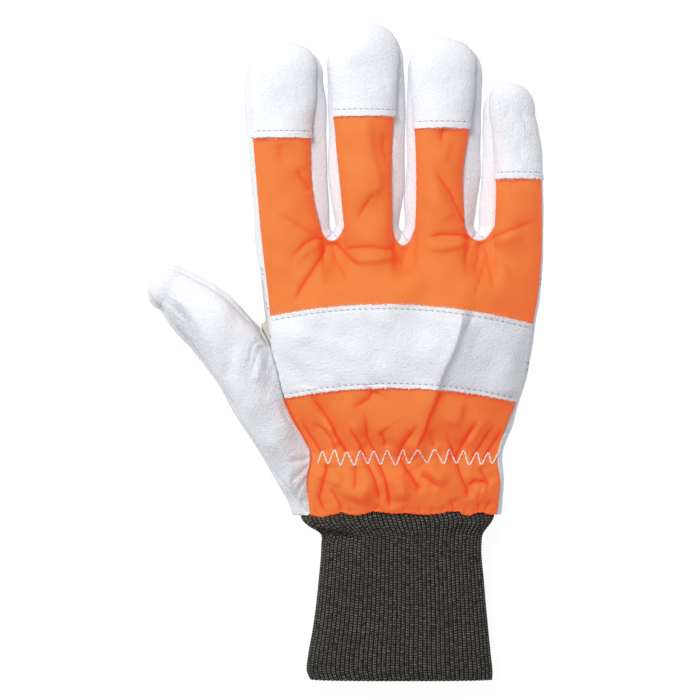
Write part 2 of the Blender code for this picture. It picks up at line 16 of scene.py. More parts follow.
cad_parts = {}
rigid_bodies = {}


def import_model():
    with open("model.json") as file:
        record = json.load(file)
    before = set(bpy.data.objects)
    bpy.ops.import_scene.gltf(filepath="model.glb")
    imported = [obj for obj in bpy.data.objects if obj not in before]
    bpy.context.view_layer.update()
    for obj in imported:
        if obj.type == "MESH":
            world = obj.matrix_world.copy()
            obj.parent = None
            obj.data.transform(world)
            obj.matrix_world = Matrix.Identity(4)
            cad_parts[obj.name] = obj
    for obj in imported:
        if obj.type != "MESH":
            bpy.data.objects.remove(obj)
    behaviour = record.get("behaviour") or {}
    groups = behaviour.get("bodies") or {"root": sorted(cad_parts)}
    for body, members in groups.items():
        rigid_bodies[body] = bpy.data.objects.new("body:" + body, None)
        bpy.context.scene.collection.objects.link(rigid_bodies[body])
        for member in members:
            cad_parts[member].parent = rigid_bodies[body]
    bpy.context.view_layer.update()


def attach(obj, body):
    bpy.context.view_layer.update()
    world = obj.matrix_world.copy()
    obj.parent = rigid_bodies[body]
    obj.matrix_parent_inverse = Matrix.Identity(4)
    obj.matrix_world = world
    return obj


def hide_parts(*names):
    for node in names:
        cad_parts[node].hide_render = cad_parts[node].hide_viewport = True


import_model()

MM = 0.001

# The view: millimetres to a pixel and the pixel that the origin falls on.
MM_PER_PX = 0.435
ORIGIN_PX = (346.35, 352.5)
VIEW_PX = 700
CAMERA_HEIGHT = 1512.0
CAMERA_SENSOR = 36.0

LEATHER = 1.6
CLOTH = 1.4
STRAP = 1.2
KNIT = 1.6
# How far cut edges of leather stand off the cloth, and how far caps stand proud beyond their edge.
CUT_EDGE_HEIGHT = 1.15
CAP_PROUD = 0.5
CAP_EDGE_REACH = 7.0
# A turned seam: how wide the leather or cloth rolls down to it, and how deep.
SEAM_ROLL = 1.6
SEAM_DEPTH = 0.6
LEAN_LIMIT = 0.7
# The least that a wall keeps where waves dip into it.
LEAST_WALL = 1.0
# Away from its seams the cloth's inner face lies straight under the outer one, so that deep creases stay whole.
UPRIGHT_SHARE = 0.9
UPRIGHT_REACH = 4.0

# Where a finger's back, its side wall and a crotch are cut into columns, as shares of their width.
EDGE_SHARES = (0.0, 0.006, 0.016, 0.03, 0.048, 0.072)
BACK_SHARES = np.concatenate((EDGE_SHARES, np.linspace(0.1, 0.9, 31), 1 - np.array(EDGE_SHARES[::-1])))
PALM_EDGE = (0.0, 0.02, 0.05, 0.1)
PALM_SHARES = np.concatenate((PALM_EDGE, np.linspace(0.17, 0.83, 8), 1 - np.array(PALM_EDGE[::-1])))
WALL_EDGE = (0.0, 0.018, 0.05, 0.1, 0.17)
WALL_SHARES = np.concatenate((WALL_EDGE, np.linspace(0.28, 0.72, 5), 1 - np.array(WALL_EDGE[::-1])))
# A crotch's columns: each strip's end, and the tongue of leather between them.
CROTCH_STRIP_COLS = 5
CROTCH_TONGUE_COLS = 6
TONGUE_HALF_WIDTH = (0.24, 0.03)
ROW_STEP = 0.7
EDGE_ROWS = (0.0, 0.15, 0.4, 0.75, 1.1, 1.45, 1.8, 2.2, 2.7)
TIP_ROWS = 22
TUCK_ROWS = 8

# The four fingers' sections, from the crotch line to where the tip starts to round off.
FINGER_COLUMNS = ("y", "outer_l", "seam_l", "seam_r", "outer_r", "seam_z", "crown_z")
FINGERS = {
    "index": {
        "tip": (-26.7, 134.6),
        "cap_y": 92.9,
        "rows": (
            (55.0, -40.2, -37.6, -11.2, -7.2, 16.0, 23.5),
            (64.5, -40.8, -38.4, -13.6, -7.4, 15.8, 23.0),
            (75.0, -41.5, -39.3, -14.9, -8.3, 15.5, 22.5),
            (97.0, -43.7, -41.0, -15.2, -8.4, 15.0, 22.0),
            (112.0, -44.3, -41.9, -13.4, -9.0, 14.5, 21.0),
            (118.5, -43.8, -42.0, -13.4, -9.9, 14.0, 20.5),
        ),
    },
    "middle": {
        "tip": (11.2, 142.6),
        "cap_y": 102.2,
        "rows": (
            (55.0, -4.6, -1.2, 19.9, 22.9, 17.0, 25.0),
            (67.0, -6.7, -2.4, 19.8, 24.5, 16.5, 24.5),
            (75.0, -7.6, -3.2, 19.6, 25.4, 16.0, 24.0),
            (97.0, -7.8, -5.4, 20.3, 25.6, 15.5, 23.0),
            (112.0, -8.2, -6.7, 21.8, 25.7, 15.0, 22.0),
            (124.0, -8.4, -7.6, 22.3, 24.8, 14.5, 21.0),
        ),
    },
    "ring": {
        "tip": (42.0, 136.4),
        "cap_y": 97.0,
        "rows": (
            (55.0, 25.5, 29.6, 51.4, 55.4, 17.0, 24.0),
            (65.5, 25.1, 30.0, 50.8, 57.0, 16.5, 23.8),
            (75.0, 26.0, 30.1, 50.5, 58.2, 16.0, 23.5),
            (97.0, 26.2, 29.4, 53.4, 58.7, 15.5, 22.5),
            (112.0, 26.4, 28.3, 55.5, 59.0, 15.0, 21.5),
            (121.0, 26.8, 27.7, 55.6, 59.0, 14.5, 21.0),
        ),
    },
    "little": {
        "tip": (70.8, 117.2),
        "cap_y": 75.1,
        "rows": (
            (55.0, 57.9, 64.2, 85.2, 86.0, 14.5, 21.0),
            (60.0, 57.7, 64.5, 85.1, 85.9, 14.5, 21.0),
            (75.0, 58.9, 64.7, 84.9, 85.7, 14.5, 21.0),
            (88.0, 59.4, 64.2, 84.4, 85.0, 14.0, 20.0),
            (97.0, 59.4, 63.4, 83.2, 83.8, 13.5, 19.5),
            (103.0, 59.5, 62.4, 81.8, 82.4, 13.5, 19.0),
        ),
    },
}
NAMES = tuple(FINGERS)
BASE_Y = 55.0
CROTCH_DIP = (6.5, 8.6, 6.4)
PALM_CROTCH_DIP = 5.0
CROTCH_RISE = 0.6
CROTCH_ROUND = 0.7
TIP_JOIN_Z = 9.0
TIP_FULLNESS = 2.4
CROWN_CLOSING = 0.9
SOLE_CLOSING = 1.5
SIDE_END = 0.8
BACK_FULLNESS = 0.8
FINGER_PLUMPNESS = 0.7
PALM_SEAM_Z = 4.0
PALM_SEAM_OUT = 0.4
FLAT = 0.5

# The hand's sections, from the wrist up to the crotch line. l and r are its seams and m its middle.
HAND_COLUMNS = ("y_l", "y_m", "y_r", "x_l", "x_r", "out_l", "out_r", "z_l", "z_m", "z_r")
HAND = (
    (-71.1, -69.8, -70.7, -16.2, 65.9, -23.6, 67.7, 11.0, 21.0, 10.5),
    (-56.3, -57.0, -56.3, -17.2, 67.2, -25.2, 68.6, 14.0, 26.5, 13.0),
    (-43.3, -45.9, -44.6, -15.6, 66.0, -24.6, 68.2, 14.0, 23.5, 13.0),
    (-29.4, -30.2, -31.5, -22.8, 70.1, -28.0, 72.6, 16.0, 28.0, 14.0),
    (-19.8, -15.2, -21.5, -26.9, 74.0, -31.0, 75.4, 17.0, 30.0, 14.5),
    (-8.5, -3.1, -10.8, -29.6, 77.0, -32.5, 78.4, 17.0, 30.5, 14.5),
    (2.8, 8.0, 0.0, -32.6, 79.2, -34.0, 80.6, 16.5, 30.5, 14.5),
    (15.4, 20.4, 12.0, -33.4, 81.2, -35.2, 82.4, 16.5, 30.0, 14.5),
    (27.2, 31.5, 25.9, -34.5, 83.6, -36.6, 84.6, 16.0, 29.0, 14.5),
    (39.4, 41.5, 39.4, -36.0, 84.8, -38.4, 85.7, 16.0, 27.0, 14.5),
    (55.0, 55.0, 55.0, -37.6, 85.2, -40.2, 86.0, 16.0, 24.5, 14.5),
)
ROW_LENGTH = 12.6
ELASTIC_ROW = 2
STRAP_ROWS = (4, 7)
PANEL_SPLIT_ROW = 5
THUMB_ROW = 6
SPREAD_ROW = 4
FOLLOW_ROW = 7.5
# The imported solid's own cuts across the hand up to the thumb's top: they set the thumb's columns.
THUMB_STATIONS = (0.0, 0.5, 1.0, 1.5, 2.0, 2.5, 3.0, 4.0, 5.0, 6.0)
WEB = (-4.5, 8.0)

THUMB_COLUMNS = ("u_x", "u_y", "l_x", "l_y", "edge_z", "crown_z")
THUMB = (
    (-33.0, 3.6, -22.3, -72.0, 12.0, 19.0),
    (-35.4, 7.0, -24.8, -65.5, 12.0, 20.4),
    (-38.2, 11.4, -32.8, -52.0, 12.0, 21.4),
    (-42.3, 16.2, -41.6, -38.1, 12.0, 22.2),
    (-46.7, 20.8, -50.8, -22.8, 12.0, 23.0),
    (-51.9, 25.8, -57.6, -11.8, 12.0, 23.4),
    (-58.4, 30.6, -66.6, 0.6, 11.8, 22.0),
    (-65.4, 34.3, -76.8, 11.4, 11.0, 19.8),
    (-71.1, 36.8, -81.6, 18.2, 10.2, 17.2),
)
THUMB_TIP = (-84.9, 31.8)
THUMB_INSET = 2.4
THUMB_BLEND = 0.3
THUMB_PLUMPNESS = 0.4
THUMB_SECTION_ROWS = 13

# The cuff's sections below the wrist seam. Its ribs are sampled finely enough to carry each stitch.
CUFF_COLUMNS = ("y", "x_l", "x_r", "top_z")
CUFF = (
    (-73.8, -18.6, 63.6, 20.4),
    (-75.6, -17.6, 62.0, 20.0),
    (-76.9, -13.6, 60.6, 19.6),
    (-78.0, -11.2, 59.6, 19.2),
    (-82.0, -11.0, 59.0, 19.0),
    (-100.0, -12.2, 60.0, 18.5),
    (-120.0, -14.6, 61.8, 18.5),
    (-134.0, -17.0, 63.2, 18.5),
    (-139.5, -17.4, 63.8, 18.0),
    (-142.6, -15.6, 63.6, 17.0),
)
CUFF_SQUARENESS = 2.6
OVAL_STEPS = 1440
RIBS = 88
RIB_COLS = 5
RIB_HEIGHT = 0.55
STITCH_LENGTH = 1.15
STITCH_ROWS = 3
STITCH_HEIGHT = 0.3
STITCH_SLANT = 0.45
RIB_WOBBLE = 0.02
CUFF_TUCK = 3.0
CUFF_INSET = 1.3
# How often and how far along the wrist's edge its places are averaged, so that the ribs start evenly.
WRIST_EVENING = 6
WRIST_SPREAD = 4
CUFF_EVENING = 40

# Relief: lines drawn on the view in px, from top to bottom or from left to right. height is at the line.
# l and r are how wide the flanks are to the left or below it and to the right or above it. A low power makes
# a sharp crease and 2 a soft fold. rise and fall are the shares of the line over which it starts and ends.
FOLD_COLUMNS = ("height", "l", "r", "power", "rise", "fall", "line")
BIG_FOLD = (
    # The big diagonal fold, its foot, and its faint end above the strap.
    (5.0, 12.0, 3.6, 1.15, 0.16, 0.1, ((466, 300), (461.5, 312), (459.8, 323), (456.5, 336),
     (453, 348), (447.4, 360.5), (442.4, 371), (438.2, 384), (434, 396), (428, 412), (423, 428), (416, 446),
     (411, 460))),
    (-1.3, 1.6, 2.8, 1.3, 0.1, 0.15, ((474, 306), (470, 317), (466.4, 326.5), (461.5, 334.8), (456.5, 348),
     (451.5, 358.8), (447.4, 366), (442.4, 378), (440.3, 385.4), (438, 395), (432.7, 406.8), (427.3, 418.4),
     (424.6, 430), (421, 438), (416.6, 446), (411, 458.6))),
    (-0.7, 1.6, 1.2, 1.4, 0.2, 0.3, ((486, 258), (479, 278), (470.7, 303))),
)
# Above and below the knuckle strap: how much higher than in its table a fold stands.
CREASE_GAINS = (2.1, 3.2)
CREASE_POWER = 1.05
CREASE_LIMIT = 3.4
# How much of a crease's width the cloth is painted across as shade.
SHADED_VALLEY_SHARE = 0.3
# The cloth's folds lie over to one side: how much of their width is left there, and how long the other flank is.
LEAN_TOWARDS = (-0.57, 0.82)
LEAN_STEEP = 0.72
LEAN_LONG = 2.0
FADE_Y = 10.0
FADE_REACH = 20.0
CLOTH_FOLDS = (
    # Creases that start at the crotch between index and middle finger.
    (-0.9, 2.2, 2.2, 1.5, 0.05, 0.5, ((327.8, 239.7), (315, 238.4), (306, 243.5), (294.5, 255), (289, 265))),
    (0.7, 2.6, 2.6, 2.0, 0.2, 0.5, ((326, 243), (313, 247), (303, 255), (293, 268))),
    (-1.1, 1.7, 1.9, 1.4, 0.05, 0.25, ((327.8, 240), (321.3, 257.6), (311, 274), (302, 288), (292, 306))),
    (0.6, 3.0, 3.0, 2.0, 0.3, 0.4, ((332, 246), (327, 268), (316, 292))),
    (-0.5, 1.8, 2.4, 1.6, 0.1, 0.5, ((330, 241), (334, 257.6), (343, 274), (348, 290))),
    (-1.0, 1.8, 1.6, 1.5, 0.05, 0.4, ((333.5, 240), (344.3, 252.4), (354.5, 262.7), (366, 270))),
    (-0.9, 2.0, 2.2, 1.7, 0.15, 0.25, ((341, 249), (355, 247.6), (369.8, 247.6), (386, 249.6), (401, 251))),
    (1.0, 2.4, 2.4, 2.0, 0.2, 0.2, ((350, 257), (362, 261), (376, 260.5), (392, 257), (402, 255))),
    (-0.4, 3.5, 2.5, 1.8, 0.3, 0.1, ((274, 212), (290, 220), (306, 230), (322, 238))),
    (-0.6, 3.2, 2.6, 1.8, 0.3, 0.1, ((296, 168), (301, 178), (308, 187), (311.5, 192))),
    # The middle finger.
    (0.7, 4.0, 2.6, 2.0, 0.15, 0.3, ((366, 116), (368, 134), (370, 152), (377, 173), (379, 187), (371, 200),
     (360, 214))),
    (-0.7, 1.8, 1.8, 1.5, 0.3, 0.4, ((380, 190), (369.8, 200), (361, 212), (355, 224))),
    (-0.6, 3.0, 3.0, 2.0, 0.3, 0.3, ((384, 130), (383, 150), (386, 168))),
    # Creases at the crotch between ring and little finger, and along the ring finger.
    (-1.0, 2.0, 2.0, 1.7, 0.25, 0.05, ((425, 238.5), (441, 235), (458, 235), (474, 240))),
    (0.9, 2.4, 2.4, 2.0, 0.3, 0.15, ((421, 247), (441, 249), (458, 245.5), (472, 242))),
    (-0.6, 1.8, 1.8, 1.4, 0.05, 0.4, ((481, 241), (485.6, 254), (487.8, 268), (492, 284), (493.5, 298))),
    (-0.7, 1.6, 1.6, 1.4, 0.05, 0.4, ((479, 241), (478, 254), (475, 267), (472, 280))),
    (0.8, 2.6, 2.6, 2.0, 0.2, 0.4, ((484, 243), (493, 256), (503, 271), (512, 286))),
    (-0.7, 2.0, 2.2, 1.6, 0.05, 0.4, ((489, 238), (504, 233), (521, 226), (541, 220))),
    (0.5, 2.6, 2.6, 2.0, 0.2, 0.3, ((492, 243), (508, 239), (526, 234))),
    (-0.9, 1.6, 2.6, 1.6, 0.3, 0.05, ((431, 168), (440, 181), (451, 197), (458, 212), (463.5, 226))),
    (0.8, 3.2, 2.0, 2.0, 0.3, 0.2, ((428, 178), (436, 190), (447, 208), (454, 222))),
    (-0.9, 1.4, 1.4, 1.5, 0.02, 0.6, ((441.6, 128), (441, 136), (440, 148))),
    (0.5, 2.6, 2.6, 2.0, 0.3, 0.3, ((449, 138), (446, 152), (440, 166))),
    (-0.4, 1.6, 1.6, 1.6, 0.1, 0.6, ((279, 146), (281, 158), (285, 172))),
    (-0.4, 1.8, 1.8, 1.6, 0.1, 0.6, ((388, 246), (398, 258), (404, 272))),
    (1.4, 1.8, 16.0, 2.0, 0.15, 0.3, ((503, 180), (500, 205), (500, 240), (505, 262))),
    (-0.5, 2.0, 2.0, 1.6, 0.05, 0.5, ((404, 247), (403.5, 258), (400, 272))),
    # The lower back: pleats that run up from the elastic.
    (-1.2, 1.7, 1.5, 1.3, 0.5, 0.1, ((300, 416), (306.6, 430), (312.9, 438), (320, 448.8), (324.5, 456))),
    (-0.9, 1.6, 1.4, 1.4, 0.3, 0.2, ((311, 423), (321.8, 428), (330.7, 437), (335, 445), (337, 455))),
    (-1.6, 1.7, 1.3, 1.2, 0.35, 0.1, ((309, 388), (317, 403), (326, 415.7), (334.3, 427.3), (337, 435.4),
     (343.2, 444.3), (346.8, 450.5), (349.5, 457))),
    (-1.2, 1.7, 1.5, 1.4, 0.3, 0.15, ((342, 421), (352, 431.8), (359.3, 442.5), (363.8, 451.4), (366.4, 460.4),
     (369, 467.5), (374.5, 478.2), (378, 491.6), (381, 506))),
    (-1.5, 1.7, 1.5, 1.2, 0.3, 0.1, ((362.9, 406), (366.4, 422.9), (367.3, 436), (370.9, 444.3), (375.4, 451.4),
     (378, 460.4), (380.7, 467.5), (385.2, 478.2), (387.9, 491.6), (390.5, 510))),
    (-1.1, 1.8, 1.8, 1.6, 0.2, 0.3, ((379, 430), (382.5, 435), (384.3, 441.6), (383, 449))),
    (-0.8, 3.2, 2.6, 1.8, 0.1, 0.4, ((374.5, 388), (368.2, 397.9), (360.2, 403.2), (350, 409))),
    (-1.5, 1.6, 1.5, 1.3, 0.3, 0.1, ((419, 421), (412, 431), (406, 438.5), (401, 446), (398.6, 456), (403, 463),
     (409, 472), (416, 483), (423, 489))),
    (-0.6, 1.3, 1.3, 1.4, 0.3, 0.2, ((427.3, 428.2), (430.9, 437), (434.5, 448))),
    (-1.2, 1.5, 1.5, 1.3, 0.4, 0.1, ((450.5, 427), (447, 437), (448.8, 442.5), (452.3, 451.4), (455.9, 462),
     (460.4, 476.4), (465.7, 487), (468, 499))),
    (-1.3, 2.2, 1.9, 1.5, 0.4, 0.1, ((480, 417), (474, 426), (468, 434), (462, 443), (457, 452), (454, 461))),
    (-1.2, 1.8, 1.5, 1.4, 0.4, 0.1, ((498, 422), (487, 433.6), (480, 443.4), (475.5, 451.4), (471, 461))),
    (-1.2, 1.6, 1.4, 1.3, 0.4, 0.1, ((504, 426), (494.3, 441.6), (488, 450.5), (482.7, 461))),
    (0.7, 2.6, 2.6, 2.0, 0.3, 0.3, ((462, 398), (458, 416), (452, 430))),
    (0.7, 2.4, 2.2, 2.0, 0.4, 0.2, ((492, 412), (482, 426), (473, 438), (466, 449))),
    (0.8, 2.4, 2.4, 2.0, 0.4, 0.2, ((322, 418), (334, 432), (341, 446))),
    (0.7, 2.6, 2.6, 2.0, 0.4, 0.2, ((350, 418), (357, 432), (366, 448))),
    # Below the elastic, down to the knit.
    (-1.1, 2.2, 2.0, 1.5, 0.15, 0.2, ((328, 461), (325.4, 473.8), (321.8, 487), (319.4, 497), (323, 508),
     (330, 514))),
    (-0.9, 1.5, 1.3, 1.3, 0.3, 0.05, ((329, 486), (336, 495), (341, 506), (341.4, 513))),
    (-0.7, 2.4, 2.4, 1.7, 0.2, 0.4, ((355.5, 464), (355.7, 480), (353, 494))),
    (0.9, 4.0, 4.0, 2.0, 0.3, 0.3, ((336, 468), (336, 478), (333, 486))),
    (1.2, 5.0, 5.0, 2.0, 0.4, 0.3, ((365, 478), (363, 492), (358, 504))),
    (1.0, 4.0, 4.0, 2.0, 0.3, 0.3, ((397, 470), (401, 486), (403, 502))),
    (-1.2, 2.4, 1.6, 1.4, 0.1, 0.4, ((408, 468), (413, 478), (417, 487), (418, 496))),
    (1.0, 3.0, 3.0, 2.0, 0.2, 0.4, ((424, 464), (428, 470), (437, 477), (446, 486))),
    (-0.8, 2.0, 2.0, 1.6, 0.2, 0.4, ((419, 473), (428, 478), (435, 484), (441, 487))),
    (-1.1, 2.4, 2.0, 1.6, 0.2, 0.3, ((465, 486), (474.6, 480), (485, 481), (492, 486))),
    (0.9, 3.4, 3.4, 2.0, 0.3, 0.3, ((470, 492), (479, 489), (488, 492))),
    (-0.8, 1.6, 1.6, 1.5, 0.2, 0.4, ((479, 466), (485.4, 477.3), (491, 486))),
    (-0.8, 1.4, 1.4, 1.3, 0.4, 0.05, ((449, 498), (451.5, 504), (454.5, 512))),
    (-0.8, 1.3, 1.3, 1.3, 0.4, 0.05, ((476.8, 499), (477.8, 506), (478.2, 512))),
    (-0.8, 1.4, 1.4, 1.3, 0.4, 0.05, ((490.5, 496), (487, 504), (484, 513))),
    (-0.8, 1.3, 1.3, 1.3, 0.4, 0.05, ((380, 503), (376.5, 507), (372, 513))),
    (-0.5, 1.2, 1.2, 1.3, 0.5, 0.05, ((404, 503), (403, 514))),
    (-0.5, 1.2, 1.2, 1.3, 0.5, 0.05, ((418, 504), (419, 515))),
    (-0.5, 1.2, 1.2, 1.3, 0.5, 0.05, ((431, 505), (432, 515))),
    (-0.5, 1.2, 1.2, 1.3, 0.5, 0.05, ((441, 504), (442, 514))),
    (-0.5, 1.2, 1.2, 1.3, 0.5, 0.05, ((463, 503), (465, 515))),
    (-0.5, 1.2, 1.2, 1.3, 0.5, 0.05, ((350, 505), (349, 515))),
    (-0.5, 1.2, 1.2, 1.3, 0.5, 0.05, ((314, 503), (318, 518))),
)
STRAP_FOLDS = (
    (-0.55, 4.0, 4.5, 2.0, 0.2, 0.05, ((309, 336), (314, 350), (315, 366), (312, 388))),
    (0.25, 4.0, 3.0, 2.0, 0.3, 0.3, ((298, 330), (302, 350), (300, 376))),
    (-0.7, 3.0, 3.0, 2.0, 0.4, 0.05, ((372, 345), (376, 362), (377, 386))),
    (-0.5, 3.5, 3.5, 2.0, 0.4, 0.05, ((326, 366), (325, 376), (325, 389))),
    (0.9, 6.0, 4.5, 2.0, 0.3, 0.1, ((495, 316), (501, 335), (507, 356), (510, 376), (511, 396))),
    (-0.5, 3.0, 3.0, 2.0, 0.2, 0.5, ((482, 322), (474, 340), (468, 358))),
)
CAP_FOLDS = (
    (-0.5, 1.1, 1.1, 1.3, 0.3, 0.3, ((502.5, 92), (500.6, 104), (502, 113), (504.5, 121))),
    (-0.5, 1.2, 1.2, 1.3, 0.3, 0.3, ((521.4, 101), (522.2, 116), (526.3, 130), (532, 139), (538, 147))),
    (-0.4, 1.0, 1.0, 1.3, 0.3, 0.3, ((516.5, 104), (519.7, 115), (524, 125))),
    (-0.4, 1.0, 1.0, 1.3, 0.3, 0.3, ((510, 104), (507.3, 113), (503.5, 123), (503, 130))),
    (-0.7, 5.0, 5.0, 2.0, 0.3, 0.4, ((512, 92), (512, 108), (514, 124), (519, 142))),
    (-0.4, 1.3, 1.3, 1.4, 0.4, 0.4, ((516, 140), (520, 152), (521, 164))),
    (-0.4, 1.2, 1.2, 1.4, 0.4, 0.4, ((267, 72), (265, 84), (262, 92))),
    (-0.3, 1.2, 1.2, 1.4, 0.4, 0.4, ((273, 78), (275, 92), (281, 104), (292, 118))),
    (-0.35, 1.2, 1.2, 1.4, 0.4, 0.4, ((296, 84), (299, 98), (303, 112))),
    (-0.5, 4.0, 4.0, 2.0, 0.4, 0.4, ((283, 84), (287, 98), (296, 114))),
    (-0.6, 4.5, 4.5, 2.0, 0.4, 0.3, ((350, 52), (356, 62), (372, 76), (382, 92))),
    (-0.4, 1.4, 1.4, 1.4, 0.4, 0.3, ((380, 68), (384, 82), (386, 98))),
    (-0.4, 1.4, 1.4, 1.4, 0.4, 0.4, ((421, 82), (424, 96), (422, 110))),
    (-0.5, 4.0, 4.0, 2.0, 0.4, 0.4, ((447, 74), (452, 88), (455, 104))),
    (-0.3, 1.2, 1.2, 1.4, 0.4, 0.4, ((461, 90), (464, 102), (463, 114))),
)
THUMB_FOLDS = (
    # The front plane stays full up to the web, and the wing up to its seam with the cloth.
    (2.8, 12.0, 4.0, 2.0, 0.25, 0.15, ((192, 283), (212, 291), (228, 305), (243, 322), (253, 338), (258.5, 354),
     (262, 371), (266, 388), (274, 404), (283, 421), (291, 437), (297, 451))),
    # The edge of the thumb's front plane, and the hollow below it down to the thumb's lower side.
    (2.0, 1.8, 15.0, 1.2, 0.3, 0.35, ((164, 294), (174, 298.5), (184, 305.5), (192.4, 317.8), (200.7, 330.8),
     (206.6, 346.2), (211.3, 359.3), (215, 371), (220, 384))),
    (-2.6, 3.6, 2.2, 1.8, 0.3, 0.35, ((163, 299), (174, 306), (181, 313), (188, 324), (195, 338), (202, 352),
     (207, 364), (213, 376), (220, 388))),
    (0.6, 0.9, 0.9, 1.3, 0.3, 0.3, ((163, 297), (171, 309.5), (180.5, 319), (192.4, 327.5), (199, 334), (205, 346))),
    # The long soft edge from below the tip to the wrist, lit on its right.
    (2.4, 4.0, 10.0, 1.3, 0.3, 0.3, ((241, 340), (239, 356), (237, 370), (236, 384), (240, 398), (249, 416),
     (258, 430))),
    (-1.2, 3.0, 2.4, 2.0, 0.3, 0.3, ((232, 350), (230, 366), (229, 380), (232, 396), (240, 414), (248, 428))),
    (1.8, 3.6, 8.0, 1.4, 0.3, 0.3, ((258, 434), (270, 442), (281, 449), (289, 459), (292, 472), (291, 488),
     (291, 503))),
    (-1.1, 5.0, 3.2, 2.0, 0.3, 0.3, ((251, 444), (262, 452), (272, 462), (280, 474), (285, 490))),
    # Creases at the web between thumb and index finger.
    (-0.6, 0.7, 0.7, 1.2, 0.1, 0.3, ((262, 340.5), (257, 342), (253.5, 346), (251.5, 351), (251, 358),
     (249.9, 364), (246, 373))),
    (-0.6, 0.7, 0.7, 1.2, 0.1, 0.3, ((266, 346.5), (260.5, 348.5), (258, 354), (256.5, 361), (254, 368),
     (248, 376))),
    (-0.6, 0.7, 0.7, 1.2, 0.1, 0.3, ((270, 352), (268, 362), (267, 371.8), (268.5, 380.7), (265, 390.6),
     (260, 399))),
    (-0.5, 0.8, 0.8, 1.2, 0.2, 0.3, ((273, 366), (272, 376), (270, 388), (266, 401))),
    (0.9, 2.0, 2.0, 2.0, 0.2, 0.3, ((263, 353), (261, 363), (259, 374), (255, 386))),
    (-0.5, 1.2, 1.2, 1.3, 0.3, 0.4, ((253, 360), (262, 368), (266, 378))),
    # The front plane's edge beside the web, and the web leather that lies lower behind it.
    (0.9, 4.0, 0.8, 2.0, 0.35, 0.1, ((220, 290), (228.6, 297.6), (240.5, 309), (248.7, 317.6), (255.8, 329),
     (261.1, 339.7), (268.6, 348))),
    (-1.0, 2.0, 3.6, 2.0, 0.35, 0.4, ((231, 295), (243.5, 306), (252, 314.5), (259.5, 326), (265, 336.5),
     (271, 346))),
    # Creases that spread over the wing from the waist.
    (-0.9, 0.9, 0.9, 1.3, 0.3, 0.1, ((286, 461), (297, 460.5), (304, 459.5), (310, 457))),
    (-0.8, 0.9, 0.9, 1.3, 0.3, 0.1, ((290, 485), (297, 477), (304, 470), (309.6, 464.5))),
    (-0.7, 0.9, 0.9, 1.3, 0.3, 0.1, ((293, 502), (298, 492), (303.5, 483), (307, 476))),
    (-0.6, 0.9, 0.9, 1.3, 0.3, 0.1, ((285, 434.5), (294, 441.5), (302, 447.5), (309, 453))),
    (-0.6, 1.0, 1.0, 1.3, 0.3, 0.3, ((280, 404), (287, 418), (296, 432), (303, 442))),
    (-1.0, 1.2, 1.2, 1.4, 0.3, 0.1, ((302.5, 496), (303, 506), (307, 515))),
    (-0.6, 0.9, 0.9, 1.3, 0.3, 0.3, ((294, 470), (293, 482), (296, 494))),
)
# The far side of the web in px: its edge with the thumb's front, beyond which the leather is painted warm grey as
# shade.
WEB_EDGE = ((234, 303), (240.5, 308.4), (248.7, 316.6), (255.8, 328.4), (261.1, 339), (269.4, 348.2))
WEB_REACH = 0.5
# How far up leather must face before it loses the painted shade that greys its side walls.
SIDE_SHADE_LEAN = 0.55
# The line in px past which, towards the hand, the web's painted shade ends.
WEB_SIDE = ((264.5, 290), (266.5, 308), (268.8, 325), (271, 346))
# Where leather is creased: a line that the creases run along, in px, how far they reach and how strong they are.
CREASE_COLUMNS = ("reach", "strength", "line")
CREASES = (
    (8.0, 1.0, ((156, 288), (165, 300), (178, 316), (190, 332), (203, 352), (214, 372))),
    (7.0, 1.0, ((266, 342), (258, 347), (254, 358), (251, 372), (246, 386))),
    (6.0, 0.9, ((271, 352), (269, 366), (266, 382), (260, 402), (257, 420))),
    (9.0, 0.7, ((311, 458), (296, 460), (278, 456), (262, 446))),
    (9.0, 0.7, ((310, 464), (299, 476), (293, 492), (292, 506))),
    (10.0, 0.5, ((236, 320), (230, 350), (232, 390), (246, 424))),
    (40.0, 0.42, ((200, 418), (620, 282))),
    (8.0, 0.6, ((496, 88), (502, 110), (506, 132), (504, 150))),
    (8.0, 0.6, ((520, 90), (524, 116), (532, 140), (538, 156))),
    (9.0, 0.2, ((366, 40), (372, 64), (384, 90), (388, 108))),
    (9.0, 0.25, ((270, 60), (276, 84), (290, 112), (300, 128))),
    (9.0, 0.2, ((448, 60), (458, 84), (464, 108))),
)
# Creases under the finger joints and across the palm, at x, y in millimetres, on the side that rests.
PALM_FOLDS = (
    (-0.8, 1.4, 1.4, 1.4, 0.2, 0.2, ((-40, 84), (-26, 85.5), (-11, 84))),
    (-0.6, 1.4, 1.4, 1.4, 0.2, 0.2, ((-41, 107), (-27, 108), (-12, 107))),
    (-0.8, 1.4, 1.4, 1.4, 0.2, 0.2, ((-5, 90), (8, 91.5), (22, 90))),
    (-0.6, 1.4, 1.4, 1.4, 0.2, 0.2, ((-6, 114), (8, 115), (23, 114))),
    (-0.8, 1.4, 1.4, 1.4, 0.2, 0.2, ((28, 87), (42, 88.5), (56, 87))),
    (-0.6, 1.4, 1.4, 1.4, 0.2, 0.2, ((28, 110), (42, 111), (57, 110))),
    (-0.8, 1.4, 1.4, 1.4, 0.2, 0.2, ((62, 78), (73, 79), (84, 78))),
    (-0.9, 1.8, 1.8, 1.5, 0.2, 0.2, ((-34, 34), (-10, 40), (20, 38), (50, 32), (78, 36))),
    (-0.8, 1.8, 1.8, 1.5, 0.2, 0.2, ((-28, 8), (-4, 14), (24, 10), (52, 2))),
    (-0.9, 1.8, 1.8, 1.5, 0.1, 0.2, ((-22, 12), (-8, -2), (2, -20), (6, -44))),
)
